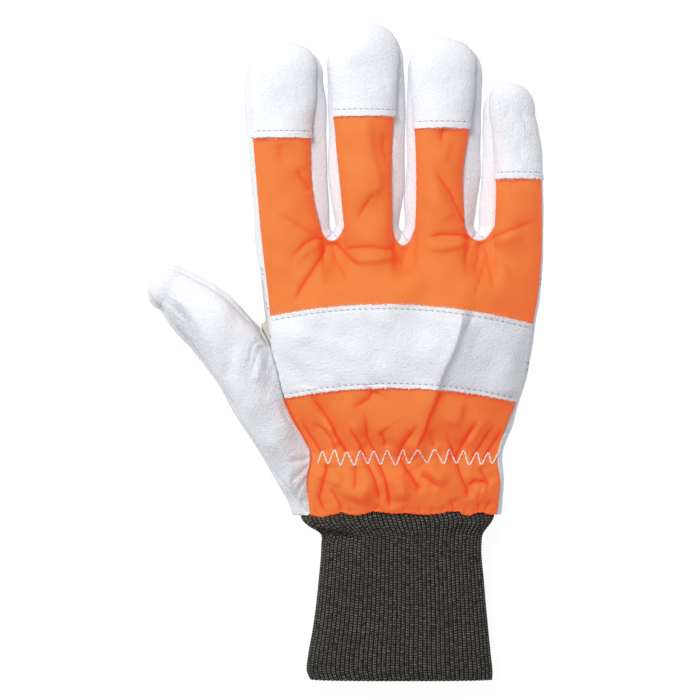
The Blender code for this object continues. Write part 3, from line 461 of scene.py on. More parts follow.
CUFF_FOLDS = (
    (-3.0, 3.2, 1.6, 1.5, 0.05, 0.5, ((314, 531.5), (324, 532.5), (338, 534.5), (354, 538), (372, 543))),
    (0.8, 2.2, 2.2, 2.0, 0.1, 0.5, ((306, 522), (322, 525), (340, 528), (358, 532))),
    (-0.8, 3.0, 3.0, 1.8, 0.4, 0.2, ((440, 536), (458, 532), (474, 531))),
)

# The elastic: px height of its middle, how far its pleats fan out above it, and how they fade.
ELASTIC_PX_Y = 457.0
FAN_CENTRE_X = 27.0
FAN_SPREAD = 0.024
PLEATS = 28
PLEAT_HEIGHT = 0.42
PLEAT_REACH_UP = 7.0
PLEAT_REACH_DOWN = 5.0
# The zigzag's turns in px, from left to right.
ZIGZAG = (
    (317.3, 466.0), (322.7, 449.6), (328.5, 464.8), (335.0, 448.0), (340.5, 466.6), (346.8, 450.0),
    (354.4, 466.6), (360.0, 448.8), (368.0, 465.0), (373.6, 449.0), (380.7, 465.7), (387.0, 448.0),
    (395.4, 466.6), (403.0, 447.4), (408.4, 464.6), (417.0, 447.4), (426.9, 464.0), (433.6, 447.0),
    (443.4, 464.8), (448.3, 447.4), (455.9, 465.0), (463.5, 448.3), (468.4, 466.6), (476.9, 450.5),
    (480.4, 466.0), (488.5, 451.4), (491.5, 465.3), (499.0, 451.5),
)
# The edge of the cloth over the knit in px, from left to right.
HEM = (
    (311.0, 519.3), (317.0, 518.3), (323.6, 516.6), (330.7, 514.8), (336.0, 514.0), (341.4, 511.6),
    (348.6, 514.2), (357.5, 514.8), (366.4, 513.0), (372.7, 510.8), (382.5, 511.7), (392.3, 513.2),
    (405.0, 512.4), (414.0, 513.4), (425.5, 514.2), (440.7, 513.0), (447.9, 511.0), (458.6, 511.0),
    (462.0, 514.0), (469.3, 515.6), (476.4, 512.6), (482.0, 512.0), (491.6, 515.3), (499.6, 511.5),
)
HEM_REACH = 0.4
HEM_SCALLOP = 0.28
HEM_SCALLOP_LENGTH = 2.3

# Rows of stitches: how far in from a cut edge, how far apart, how long and how thick.
STITCH_INSET = 1.8
CAP_STITCH_INSET = 3.0
STRAP_STITCH_STEP = 2.62
CAP_STITCH_STEP = 2.42
# How long the dark slanted dashes between stitches are: painted shadow of the needle holes.
STRAP_SHADOW_DASH = 0.85
CAP_SHADOW_DASH = 0.65
STITCH_RADIUS = 0.2
# How thick those painted hole shadows and the loose thread ends are.
CROSSING_RADIUS = 0.16
STITCH_GROOVE = 0.22
STITCH_GROOVE_WIDTH = 0.55
# Loose thread ends at the side seams, in px.
TACKS = (
    ((262.0, 267.5), (262.6, 271.5)), ((262.3, 273.5), (264.8, 275.2)), ((266.2, 301.5), (267.0, 305.0)),
    ((266.9, 307.3), (269.2, 309.0)), ((271.0, 334.5), (271.4, 338.5)), ((541.2, 277.0), (540.6, 280.5)),
    ((540.3, 282.5), (539.8, 285.5)), ((528.2, 361.0), (527.6, 365.0)), ((527.2, 368.0), (526.6, 371.5)),
)
ZIGZAG_RADIUS = 0.35
ZIGZAG_STITCHES = 3
CUT_EDGE_JITTER = 0.22
FIBRES_PER_MM = 5.0
FIBRE_LENGTH = (0.45, 1.5)
FIBRE_RADIUS = 0.08


def smoothstep(t):
    t = np.clip(t, 0.0, 1.0)
    return t * t * (3.0 - 2.0 * t)


def from_px(points):
    """Places in the view, in px, as x, y in millimetres."""
    p = np.asarray(points, float)
    return np.stack(((p[..., 0] - ORIGIN_PX[0]) * MM_PER_PX, (ORIGIN_PX[1] - p[..., 1]) * MM_PER_PX), axis=-1)


def unit(vectors):
    return vectors / np.maximum(np.linalg.norm(vectors, axis=-1, keepdims=True), 1e-12)


def through_rows(keys, values, at):
    """Smooth curve through a table's rows: cubic pieces whose slopes follow the neighbouring rows."""
    keys = np.asarray(keys, float)
    values = np.asarray(values, float)
    at = np.clip(at, keys[0], keys[-1])
    slopes = np.gradient(values, keys, axis=0)
    i = np.clip(np.searchsorted(keys, at, side="right") - 1, 0, len(keys) - 2)
    step = keys[i + 1] - keys[i]
    t = (at - keys[i]) / step
    start = (1 + 2 * t) * (1 - t) ** 2 * values[i] + t * (1 - t) ** 2 * step * slopes[i]
    end = t * t * (3 - 2 * t) * values[i + 1] + t * t * (t - 1) * step * slopes[i + 1]
    return start + end


def table_row(columns, rows, keys, at):
    """Every column of a table at one place, as a dictionary."""
    return {name: through_rows(keys, [row[i] for row in rows], at) for i, name in enumerate(columns)}


def arc(shares, fullness):
    """Positions 0 to 1 across a domed panel and its height 0 to 1 there, as an arc of a circle."""
    angle = (2 * np.asarray(shares) - 1) * fullness * np.pi / 2
    across = (np.sin(angle) / np.sin(fullness * np.pi / 2) + 1) / 2
    height = (np.cos(angle) - np.cos(fullness * np.pi / 2)) / (1 - np.cos(fullness * np.pi / 2))
    return across, height


def side_wall(top, bottom, reach):
    """A side wall's section from its top seam down to its bottom seam, swelling out to the x, y of reach."""
    v = WALL_SHARES[:, None]
    swell = np.sin(np.pi * v)
    section = top + (bottom - top) * v
    section[:, :2] += swell * (np.asarray(reach) - section[:, :2])
    return section


def flat_bottom(across, mid_z, left_z, right_z):
    """Heights under a panel that lies flat in its middle and curls up to its two seams."""
    a = 2 * across - 1
    curl = (np.clip(np.abs(a) - FLAT, 0, None) / (1 - FLAT)) ** 2
    return mid_z + (np.where(a < 0, left_z, right_z) - mid_z) * curl


def finger_ring(name, y):
    """One section of a finger, as four strips of points: back, right side, palm and left side."""
    finger = FINGERS[name]
    rows = finger["rows"]
    tip_x, tip_y = finger["tip"]
    round_y = rows[-1][0]
    s = table_row(FINGER_COLUMNS, rows, [row[0] for row in rows], min(y, round_y))
    q = np.clip((y - round_y) / (tip_y - round_y), 0.0, 1.0)
    width = np.sqrt(max(0.0, 1 - q**TIP_FULLNESS))
    side = np.sqrt(np.clip(1 - q / SIDE_END, 0.0, 1.0))
    outer = [tip_x + (s[k] - tip_x) * width for k in ("outer_l", "outer_r")]
    seam = [tip_x + (s[k] - tip_x) * width for k in ("seam_l", "seam_r")]
    seam = [o + (m - o) * side for o, m in zip(outer, seam)]
    low = [m + (o - m) * PALM_SEAM_OUT for o, m in zip(outer, seam)]
    seam_z = TIP_JOIN_Z + (s["seam_z"] - TIP_JOIN_Z) * side
    low_z = TIP_JOIN_Z + (PALM_SEAM_Z - TIP_JOIN_Z) * side
    crown_z = TIP_JOIN_Z + (s["crown_z"] - TIP_JOIN_Z) * width**CROWN_CLOSING

    across, height = arc(BACK_SHARES, BACK_FULLNESS)
    height = height**FINGER_PLUMPNESS
    level = np.full_like(across, y)
    back = np.column_stack(
        (seam[0] + (seam[1] - seam[0]) * across, level, seam_z + (crown_z - seam_z) * height)
    )
    level = np.full_like(PALM_SHARES, y)
    sole = flat_bottom(PALM_SHARES, TIP_JOIN_Z * (1 - width) ** SOLE_CLOSING, low_z, low_z)
    palm = np.column_stack((low[0] + (low[1] - low[0]) * PALM_SHARES, level, sole))
    left = side_wall(back[0], palm[0], (outer[0], y))
    right = side_wall(back[-1], palm[-1], (outer[1], y))
    return {"back": back, "right": right, "palm": palm[::-1], "left": left[::-1]}


def graded(start, end, fine_start, fine_end):
    """Places from start to end a row step apart, closer at either end where that is asked for."""
    first = start + np.array(EDGE_ROWS) if fine_start else np.array((start,))
    last = end - np.array(EDGE_ROWS[::-1]) if fine_end else np.array((end,))
    count = max(int(round((last[0] - first[-1]) / ROW_STEP)), 1)
    return np.concatenate((first, np.linspace(first[-1], last[0], count + 1)[1:-1], last))


def finger_stations(name):
    """Where a finger is cut into sections, closer at its cap's edge and round the tip."""
    finger = FINGERS[name]
    round_y = finger["rows"][-1][0]
    tip_y = finger["tip"][1]
    turn = np.linspace(0.0, np.pi / 2, TIP_ROWS + 1)
    below = graded(BASE_Y, finger["cap_y"], False, True)
    above = graded(finger["cap_y"], round_y, True, False)
    return np.concatenate((below[:-1], above[:-1], round_y + (tip_y - round_y) * np.sin(turn)))


def hand_stations():
    """Where the hand is cut into sections, in rows of its table, closer at the wrist and the strap's edges."""
    stops = ((0, PANEL_SPLIT_ROW - 1, True, True), (STRAP_ROWS[0], PANEL_SPLIT_ROW, True, False),
             (PANEL_SPLIT_ROW, THUMB_ROW, False, False), (THUMB_ROW, STRAP_ROWS[1], False, True),
             (STRAP_ROWS[1], len(HAND) - 1, True, False))
    pieces = []
    for first, last, fine_first, fine_last in stops:
        part = graded(first * ROW_LENGTH, last * ROW_LENGTH, fine_first, fine_last) / ROW_LENGTH
        pieces.append(part[:-1])
    return np.round(np.concatenate(pieces + [[len(HAND) - 1.0]]), 6)


def crotch_patch(right_side, left_side, dip):
    """The leather between two fingers: one strip's end, a tongue, and the other strip's end."""
    left_side = left_side[::-1]
    v = WALL_SHARES
    half = TONGUE_HALF_WIDTH[0] + (TONGUE_HALF_WIDTH[1] - TONGUE_HALF_WIDTH[0]) * np.sin(np.pi * v)
    strip = np.linspace(0.0, 1.0, CROTCH_STRIP_COLS + 1)
    tongue = np.linspace(-1.0, 1.0, CROTCH_TONGUE_COLS + 1)
    u = np.concatenate(
        (
            strip[None, :-1] * (0.5 - half)[:, None],
            0.5 + tongue[None, :] * half[:, None],
            1 - (strip[None, ::-1] * (0.5 - half)[:, None])[:, 1:],
        ),
        axis=1,
    )[:, :, None]
    flat = right_side[:, None] * (1 - u) + left_side[:, None] * u
    depth = dip * (1 - v) + PALM_CROTCH_DIP * v - dip * np.sin(np.pi * v) * CROTCH_RISE
    flat[:, :, 1] -= depth[:, None] * np.sin(np.pi * u[:, :, 0]) ** CROTCH_ROUND
    return flat


def hand_sheet(stations, crotch, on_back):
    """The hand's back or palm: a grid from the wrist row up to the crotch line's points, x increasing."""
    keys = range(len(HAND))
    last = keys[-1]
    count = len(crotch) - 1
    even = np.linspace(0.0, 1.0, count + 1)
    spread = (crotch[:, 0] - crotch[0, 0]) / (crotch[-1, 0] - crotch[0, 0])
    arc_x, arc_z = arc(even, BACK_FULLNESS)
    hem = from_px(HEM)
    sheet = []
    for r in stations[:-1]:
        s = table_row(HAND_COLUMNS, HAND, keys, r)
        across = even + (spread - even) * smoothstep((r - SPREAD_ROW) / (last - SPREAD_ROW))
        bend = smoothstep((r - FOLLOW_ROW) / (last - FOLLOW_ROW))
        bow = s["y_m"] - (s["y_l"] + s["y_r"]) / 2
        y = s["y_l"] + (s["y_r"] - s["y_l"]) * across + bow * 4 * across * (1 - across)
        y = y + (crotch[:, 1] - BASE_Y) * bend
        if on_back:
            x = s["x_l"] + (s["x_r"] - s["x_l"]) * across
            z = s["z_l"] + (s["z_r"] - s["z_l"]) * across
            z = z + (s["z_m"] - (s["z_l"] + s["z_r"]) / 2) * np.interp(across, arc_x, arc_z)
            z = z + (crotch[:, 2] - z) * bend
            if r < 1:
                first = table_row(HAND_COLUMNS, HAND, keys, 0)
                bow = first["y_m"] - (first["y_l"] + first["y_r"]) / 2
                edge = first["y_l"] + (first["y_r"] - first["y_l"]) * across + bow * 4 * across * (1 - across)
                scallop = HEM_SCALLOP * np.abs(np.sin(np.pi * x / HEM_SCALLOP_LENGTH))
                ends = smoothstep(across * 12) * smoothstep((1 - across) * 12)
                lower = (np.interp(x, hem[:, 0], hem[:, 1]) - edge - scallop) * ends
                y = y + lower * smoothstep(1 - r / HEM_REACH)
        else:
            free = 1 - smoothstep(THUMB_ROW + 1 - r)
            left = s["x_l"] + (s["out_l"] - s["x_l"]) * PALM_SEAM_OUT * free
            right = s["x_r"] + (s["out_r"] - s["x_r"]) * PALM_SEAM_OUT
            x = left + (right - left) * across
            z = flat_bottom(across, 0.0, PALM_SEAM_Z * free, PALM_SEAM_Z)
        sheet.append(np.column_stack((x, y, z)))
    return np.array(sheet + [crotch])


def thumb_ring(t, shares):
    """One section of the thumb at t sections from its base: top, upper side, palm and lower side strips."""
    last = len(THUMB) - 1
    s = table_row(THUMB_COLUMNS, THUMB, range(len(THUMB)), min(t, last))
    upper = np.array((s["u_x"], s["u_y"], 0.0))
    lower = np.array((s["l_x"], s["l_y"], 0.0))
    q = np.clip(t - last, 0.0, 1.0)
    width = np.sqrt(max(0.0, 1 - q**TIP_FULLNESS))
    tip = np.array((*THUMB_TIP, 0.0))
    middle = (upper + lower) / 2
    middle = middle + (tip - middle) * q
    half = (upper - lower) / 2 * width
    inset = half / max(np.linalg.norm(half), 1e-9) * THUMB_INSET * width
    edge_z = TIP_JOIN_Z + (s["edge_z"] - TIP_JOIN_Z) * width
    low_z = TIP_JOIN_Z + (PALM_SEAM_Z - TIP_JOIN_Z) * width
    crown_z = TIP_JOIN_Z + (s["crown_z"] - TIP_JOIN_Z) * width

    ends = (middle - half + inset, middle + half - inset)
    across, height = arc(shares, BACK_FULLNESS)
    height = height**THUMB_PLUMPNESS
    top = ends[0] + (ends[1] - ends[0]) * across[:, None]
    top[:, 2] = edge_z + (crown_z - edge_z) * height
    palm = ends[0] + (ends[1] - ends[0]) * shares[:, None]
    palm[:, 2] = flat_bottom(shares, TIP_JOIN_Z * (1 - width) ** SOLE_CLOSING, low_z, low_z)
    upper_side = side_wall(top[-1], palm[-1], (middle + half)[:2])
    lower_side = side_wall(top[0], palm[0], (middle - half)[:2])
    return np.concatenate((top[:-1], upper_side[:-1], palm[::-1][:-1], lower_side[::-1]))


class Skin:
    """The glove's outer surface as grids of points whose equal points are welded, each face in a panel."""

    def __init__(self):
        self.grids = []
        self.labels = []

    def add(self, grid, label):
        """Adds a grid. label is a panel's name, or an array of names, one for each of its faces."""
        grid = np.asarray(grid, float)
        self.grids.append(grid)
        self.labels.append(np.broadcast_to(np.asarray(label, dtype=object), (len(grid) - 1, grid.shape[1] - 1)))
        return len(self.grids) - 1

    def weld(self):
        """Joins the grids: points, each grid's point numbers, and triangles with their panels."""
        flat = np.concatenate([grid.reshape(-1, 3) for grid in self.grids])
        keys, first, number = np.unique(np.round(flat, 3), axis=0, return_index=True, return_inverse=True)
        number = number.reshape(-1)
        self.points = flat[first]
        self.ids = []
        start = 0
        for grid in self.grids:
            size = grid.shape[0] * grid.shape[1]
            self.ids.append(number[start : start + size].reshape(grid.shape[:2]))
            start += size
        made = [triangles(ids, self.points) for ids in self.ids]
        self.faces = np.concatenate([faces for faces, _ in made])
        self.panels = np.concatenate([labels.reshape(-1)[cell] for labels, (_, cell) in zip(self.labels, made)])
        self.normals = offset_directions(self.points, self.faces)


def triangles(ids, points):
    """A grid of point numbers cut along each face's shorter diagonal, and the face each triangle is from."""
    a, b = ids[:-1, :-1].ravel(), ids[:-1, 1:].ravel()
    d, c = ids[1:, :-1].ravel(), ids[1:, 1:].ravel()
    short = np.linalg.norm(points[a] - points[c], axis=1) < np.linalg.norm(points[b] - points[d], axis=1)
    one = np.where(short[:, None], np.stack((a, b, c), 1), np.stack((a, b, d), 1))
    two = np.where(short[:, None], np.stack((a, c, d), 1), np.stack((b, c, d), 1))
    faces = np.stack((one, two), 1).reshape(-1, 3)
    cell = np.repeat(np.arange(len(a)), 2)
    whole = (faces[:, 0] != faces[:, 1]) & (faces[:, 1] != faces[:, 2]) & (faces[:, 0] != faces[:, 2])
    return faces[whole], cell[whole]


def face_normals(points, faces):
    corner = points[faces]
    return unit(np.cross(corner[:, 1] - corner[:, 0], corner[:, 2] - corner[:, 0]))


def offset_directions(points, faces):
    """A direction at every point that offsets the faces round it evenly."""
    normal = face_normals(points, faces)
    corner = points[faces]
    total = np.zeros_like(points)
    for k in range(3):
        a = unit(corner[:, (k + 1) % 3] - corner[:, k])
        b = unit(corner[:, (k + 2) % 3] - corner[:, k])
        angle = np.arccos(np.clip((a * b).sum(axis=1), -1, 1))
        np.add.at(total, faces[:, k], normal * angle[:, None])
    total = unit(total)
    lean = np.ones(len(points))
    for k in range(3):
        np.minimum.at(lean, faces[:, k], (total[faces[:, k]] * normal).sum(axis=1))
    return total / np.maximum(lean, LEAN_LIMIT)[:, None]


def build_skin():
    """The fingers, crotches, hand and thumb as one skin, with the edge that the cuff hangs from."""
    skin = Skin()
    stations = hand_stations()
    rings = {}
    for name in NAMES:
        at = finger_stations(name)
        rings[name] = [finger_ring(name, y) for y in at]
        cap_row = int(np.searchsorted(at, FINGERS[name]["cap_y"] - 1e-6))
        columns = len(BACK_SHARES) - 1
        label = np.full((len(at) - 1, columns), "back_panel", dtype=object)
        label[cap_row:] = f"{name}_cap"
        for part in ("back", "right", "palm", "left"):
            grid = [ring[part] for ring in rings[name]]
            if part == "back":
                skin.add(grid, label)
            elif part == "palm" or (name, part) in (("index", "left"), ("little", "right")):
                skin.add(grid, "palm_panel")
            else:
                skin.add(grid, f"{name}_{part}_strip")

    back_line = []
    palm_line = []
    columns = 2 * CROTCH_STRIP_COLS + CROTCH_TONGUE_COLS
    for i, name in enumerate(NAMES):
        base = rings[name][0]
        back_line.extend(base["back"])
        palm_line.extend(base["palm"][::-1])
        if i < 3:
            patch = crotch_patch(base["right"], rings[NAMES[i + 1]][0]["left"], CROTCH_DIP[i])
            label = np.full((len(WALL_SHARES) - 1, columns), f"{name}_crotch_gusset", dtype=object)
            label[:, :CROTCH_STRIP_COLS] = f"{name}_right_strip"
            label[:, CROTCH_STRIP_COLS + CROTCH_TONGUE_COLS :] = f"{NAMES[i + 1]}_left_strip"
            skin.add(patch, label)
            back_line.extend(patch[0, 1:-1])
            palm_line.extend(patch[-1, 1:-1])
    back = hand_sheet(stations, np.array(back_line), True)
    palm = hand_sheet(stations, np.array(palm_line), False)
    label = np.full((len(stations) - 1, back.shape[1] - 1), "back_panel", dtype=object)
    label[: int(np.searchsorted(stations, PANEL_SPLIT_ROW))] = "wrist_panel"
    back_grid = skin.add(back, label)
    skin.add(palm[:, ::-1], "palm_panel")

    cut = int(np.searchsorted(stations, THUMB_ROW))
    right = [rings["little"][0]["right"]]
    left = [rings["index"][0]["left"]]
    for i in reversed(range(len(stations) - 1)):
        s = table_row(HAND_COLUMNS, HAND, range(len(HAND)), stations[i])
        right.insert(0, side_wall(back[i, -1], palm[i, -1], (s["out_r"], s["y_r"])))
        web = back[i, 0, :2] + WEB
        share = smoothstep(1 - abs(stations[i] - THUMB_ROW))
        reach = np.array((s["out_l"], s["y_l"])) * (1 - share) + web * share
        left.insert(0, side_wall(back[i, 0], palm[i, 0], reach)[::-1])
    skin.add(right, "palm_panel")
    skin.add(left[cut:], "palm_panel")

    above = back[:cut, 0]
    below = palm[cut:0:-1, 0]
    base = np.concatenate((above, left[cut][::-1][:-1], below, left[0]))
    shares = through_rows(THUMB_STATIONS, np.linspace(0, 1, len(THUMB_STATIONS)), stations[: cut + 1])
    last = len(THUMB) - 1
    turn = np.sin(np.linspace(0.0, np.pi / 2, TIP_ROWS + 1))
    first = np.array(EDGE_ROWS[:-1]) / ROW_LENGTH
    along = np.concatenate((first, np.arange(4, last * THUMB_SECTION_ROWS) / THUMB_SECTION_ROWS, last + turn))
    plain = thumb_ring(0.0, shares)
    thumb = []
    for t in along:
        fade = 1 - smoothstep(t / (THUMB_BLEND * last))
        thumb.append(thumb_ring(t, shares) + (base - plain) * fade)
    skin.add(thumb, "thumb")
    skin.weld()
    skin.back_ids = skin.ids[back_grid]
    skin.stations = stations
    skin.wrist = np.concatenate((back[0][:-1], right[0][:-1], palm[0, ::-1][:-1], left[0][:-1]))
    return skin


def line_field(xy, line):
    """Signed distance from a line at each place, positive to the left of its travel, and the share along it."""
    best = np.full(len(xy), np.inf)
    signed = np.zeros(len(xy))
    share = np.zeros(len(xy))
    steps = np.diff(line, axis=0)
    lengths = np.linalg.norm(steps, axis=1)
    done = 0.0
    for start, step, length in zip(line[:-1], steps, lengths):
        run = step / length
        off = xy - start
        along = np.clip(off @ run, 0, length)
        near = off - along[:, None] * run
        distance = np.linalg.norm(near, axis=1)
        closer = distance < best
        side = np.where(run[0] * off[:, 1] - run[1] * off[:, 0] >= 0, 1.0, -1.0)
        best = np.where(closer, distance, best)
        signed = np.where(closer, distance * side, signed)
        share = np.where(closer, (done + along) / lengths.sum(), share)
        done += length
    return signed, share


def folds(xy, table, in_px=True):
    """Height that a table of folds adds at each place."""
    relief = np.zeros(len(xy))
    for row in table:
        fold = dict(zip(FOLD_COLUMNS, row))
        line = from_px(fold["line"]) if in_px else np.array(fold["line"], float)
        reach = 3 * max(fold["l"], fold["r"])
        low, high = line.min(axis=0) - reach, line.max(axis=0) + reach
        near = np.flatnonzero(np.all((xy > low) & (xy < high), axis=1))
        if len(near) == 0:
            continue
        off, share = line_field(xy[near], line)
        width = np.where(off > 0, fold["r"], fold["l"])
        ends = smoothstep(share / fold["rise"]) * smoothstep((1 - share) / fold["fall"])
        relief[near] += fold["height"] * np.exp(-((np.abs(off) / width) ** fold["power"])) * ends
    return relief


def lying_over(table):
    """A table of folds whose flanks are made steep on one side and long on the other."""
    made = []
    for row in table:
        fold = dict(zip(FOLD_COLUMNS, row))
        travel = from_px(fold["line"][-1]) - from_px(fold["line"][0])
        left_is_up = travel[0] * LEAN_TOWARDS[1] - travel[1] * LEAN_TOWARDS[0] > 0
        steep_left = left_is_up if fold["height"] < 0 else not left_is_up
        left, right = (LEAN_STEEP, LEAN_LONG) if steep_left else (LEAN_LONG, LEAN_STEEP)
        power = min(fold["power"], CREASE_POWER) if fold["height"] < 0 else fold["power"]
        made.append((row[0], row[1] * right, row[2] * left, power) + row[4:])
    return made


def valleys(xy, table):
    """How deep each place lies in a table's creases, 0 to 1, where the cloth is painted as in shade."""
    below = [(-row[0], row[1] * SHADED_VALLEY_SHARE, row[2] * SHADED_VALLEY_SHARE) + row[3:] for row in table if row[0] < 0]
    return np.clip(folds(xy, below), 0, 1)


def creases(xy):
    """Coordinates along and across the nearest crease line, and how strong the creases are, at each place."""
    along = np.zeros(len(xy))
    across = np.zeros(len(xy))
    strength = np.zeros(len(xy))
    second = np.zeros(len(xy))
    for k, row in enumerate(CREASES):
        zone = dict(zip(CREASE_COLUMNS, row))
        line = from_px(zone["line"])
        length = np.linalg.norm(np.diff(line, axis=0), axis=1).sum()
        near = np.flatnonzero(np.all((xy > line.min(axis=0) - zone["reach"]) & (xy < line.max(axis=0) + zone["reach"]),
                                     axis=1))
        off, share = line_field(xy[near], line)
        here = zone["strength"] * smoothstep(1.3 * (1 - np.abs(off) / zone["reach"]))
        here *= smoothstep(share * 6) * smoothstep((1 - share) * 4)
        better = here > strength[near]
        second[near] = np.maximum(second[near], np.minimum(here, strength[near]))
        chosen = near[better]
        strength[chosen] = here[better]
        along[chosen] = share[better] * length + 100 * k
        across[chosen] = off[better]
    return along, across, strength - second


def ripple(points, length, seed, stretch=(1.0, 1.0, 1.0), waves=20):
    """Soft irregular waves about one high and length long, the same on every run."""
    rng = np.random.default_rng(seed)
    direction = unit(rng.normal(size=(waves, 3)))
    pitch = 2 * np.pi / (length * rng.uniform(0.7, 1.5, waves))
    phase = rng.uniform(0, 2 * np.pi, waves)
    at = points / np.array(stretch)
    return np.sin(at @ (direction * pitch[:, None]).T + phase).sum(axis=1) / np.sqrt(waves / 2)


def pleats(xy):
    """The elastic's even small pleats, which fan out above it."""
    y0 = (ORIGIN_PX[1] - ELASTIC_PX_Y) * MM_PER_PX
    rise = xy[:, 1] - y0
    above = np.clip(rise, 0, None)
    x = (xy[:, 0] + FAN_SPREAD * FAN_CENTRE_X * above) / (1 + FAN_SPREAD * above)
    width = HAND[ELASTIC_ROW][4] - HAND[ELASTIC_ROW][3]
    wave = np.cos(2 * np.pi * PLEATS / 2 * (x - HAND[ELASTIC_ROW][3]) / width + 0.6 * np.sin(x / 7.0))
    reach = np.where(rise > 0, PLEAT_REACH_UP, PLEAT_REACH_DOWN)
    return PLEAT_HEIGHT * wave * np.exp(-((rise / reach) ** 2))


def seam_distance(skin):
    """Each point's distance to the nearest turned seam. Caps, back and wrist panel have none between them."""
    region = np.array([0 if name.endswith("_cap") or name in ("back_panel", "wrist_panel") else hash_name(name)
                       for name in skin.panels])
    edges = np.concatenate([skin.faces[:, (k, (k + 1) % 3)] for k in range(3)])
    owner = np.tile(region, 3)
    ordered = np.sort(edges, axis=1)
    code = ordered[:, 0] * np.int64(len(skin.points)) + ordered[:, 1]
    order = np.argsort(code, kind="stable")
    code, owner, ordered = code[order], owner[order], ordered[order]
    twin = code[:-1] == code[1:]
    seam = np.zeros(len(code), bool)
    seam[:-1] |= twin & (owner[:-1] != owner[1:])
    single = np.ones(len(code), bool)
    single[:-1] &= ~twin
    single[1:] &= ~twin
    lines = ordered[seam | single]
    a, b = skin.points[lines[:, 0]], skin.points[lines[:, 1]]
    steps = np.linspace(0, 1, 7)[:, None, None]
    dense = (a + (b - a) * steps).reshape(-1, 3)
    tree = KDTree(len(dense))
    for i, p in enumerate(dense):
        tree.insert(p, i)
    tree.balance()
    return np.array([tree.find(p)[2] for p in skin.points])


PANEL_NUMBERS = {}


def hash_name(name):
    return PANEL_NUMBERS.setdefault(name, len(PANEL_NUMBERS) + 1)


def skin_relief(skin):
    """How far each point of the skin moves out along its direction and up, its distance from a seam, and how
    deep it lies in a crease of the cloth, where the cloth is painted as in shade."""
    points, normals = skin.points, skin.normals
    xy = points[:, :2]
    distance = seam_distance(skin)
    upward = smoothstep((normals[:, 2] - 0.05) / 0.4)
    downward = smoothstep((-normals[:, 2] - 0.3) / 0.4)
    inside = smoothstep(distance / 1.6)
    wide = smoothstep(distance / 9.0)

    member = {}
    for name in set(skin.panels):
        mask = np.zeros(len(points), bool)
        mask[skin.faces[skin.panels == name]] = True
        member[name] = mask
    cloth = member["back_panel"] | member["wrist_panel"]
    caps = np.any([member[f"{name}_cap"] for name in NAMES], axis=0) & ~cloth
    thumb = member["thumb"]
    leather = ~cloth

    rise = np.zeros(len(points))
    below = smoothstep((FADE_Y - xy[:, 1]) / FADE_REACH)
    gain = CREASE_GAINS[0] + (CREASE_GAINS[1] - CREASE_GAINS[0]) * below
    creased = gain * folds(xy, lying_over(CLOTH_FOLDS)) + pleats(xy)
    creased = np.where(creased < 0, CREASE_LIMIT * np.tanh(creased / CREASE_LIMIT), creased)
    creased *= 0.35 + 0.65 * smoothstep((xy[:, 1] - HAND[0][1]) / 6.0)
    rise += np.where(cloth, creased + folds(xy, BIG_FOLD), 0)
    rise += np.where(cloth, folds(xy, STRAP_FOLDS), 0)
    rise += np.where(caps, folds(xy, CAP_FOLDS), 0)
    rise += np.where(thumb | member["palm_panel"], folds(xy, THUMB_FOLDS), 0)
    rise *= np.where(cloth | caps, inside, 1) * upward
    palm = folds(xy, PALM_FOLDS, in_px=False) + 0.18 * ripple(points, 15.0, 21)
    rise -= np.where(leather & ~caps, palm * inside * downward, 0)

    relief = np.zeros(len(points))
    soft = 0.42 * ripple(points, 25.0, 11) + 0.15 * ripple(points, 10.0, 12)
    relief += np.where(cloth, soft * wide, 0)
    pucker = np.sin(2 * np.pi * xy[:, 1] / 4.3 + 1.3 * np.sin(xy[:, 1] / 5.0)) * np.exp(-distance / 2.2)
    relief += np.where(cloth, 0.16 * pucker * inside, 0)
    relief += np.where(leather, (0.2 * ripple(points, 17.0, 31) + 0.03 * ripple(points, 5.0, 32)) * wide, 0)
    roll = np.clip(1 - distance / SEAM_ROLL, 0, 1)
    relief -= SEAM_DEPTH * (1 - np.sqrt(1 - roll**2))
    # Painted shade: how deep the cloth lies in its creases, which its material paints deep red.
    crease_shade = np.where(cloth, valleys(xy, CLOTH_FOLDS + BIG_FOLD) * inside, 0)
    return relief, rise, distance, crease_shade


def to_mesh(name, points, faces, finish, attributes=None, uv=None, smooth=True, lining=None):
    """A mesh object from arrays of points in millimetres and triangles."""
    mesh = bpy.data.meshes.new(name)
    faces = np.asarray(faces, np.int32)
    mesh.vertices.add(len(points))
    mesh.vertices.foreach_set("co", (np.asarray(points) * MM).astype(np.float32).ravel())
    mesh.loops.add(faces.size)
    mesh.loops.foreach_set("vertex_index", faces.ravel())
    mesh.polygons.add(len(faces))
    mesh.polygons.foreach_set("loop_start", np.arange(0, faces.size, 3, dtype=np.int32))
    mesh.polygons.foreach_set("use_smooth", np.full(len(faces), smooth))
    mesh.update(calc_edges=True)
    for key, values in (attributes or {}).items():
        layer = mesh.attributes.new(key, "FLOAT", "POINT")
        layer.data.foreach_set("value", np.asarray(values, np.float32))
    if uv is not None:
        layer = mesh.uv_layers.new(name="UVMap")
        layer.data.foreach_set("uv", np.asarray(uv, np.float32)[faces.ravel()].ravel())
    mesh.materials.append(finish)
    if lining is not None:
        inner, lining_finish = lining
        mesh.materials.append(lining_finish)
        mesh.polygons.foreach_set("material_index", np.isin(np.arange(len(faces)), inner).astype(np.int32))
    made = bpy.data.objects.new(name, mesh)
    bpy.context.scene.collection.objects.link(made)
    return made


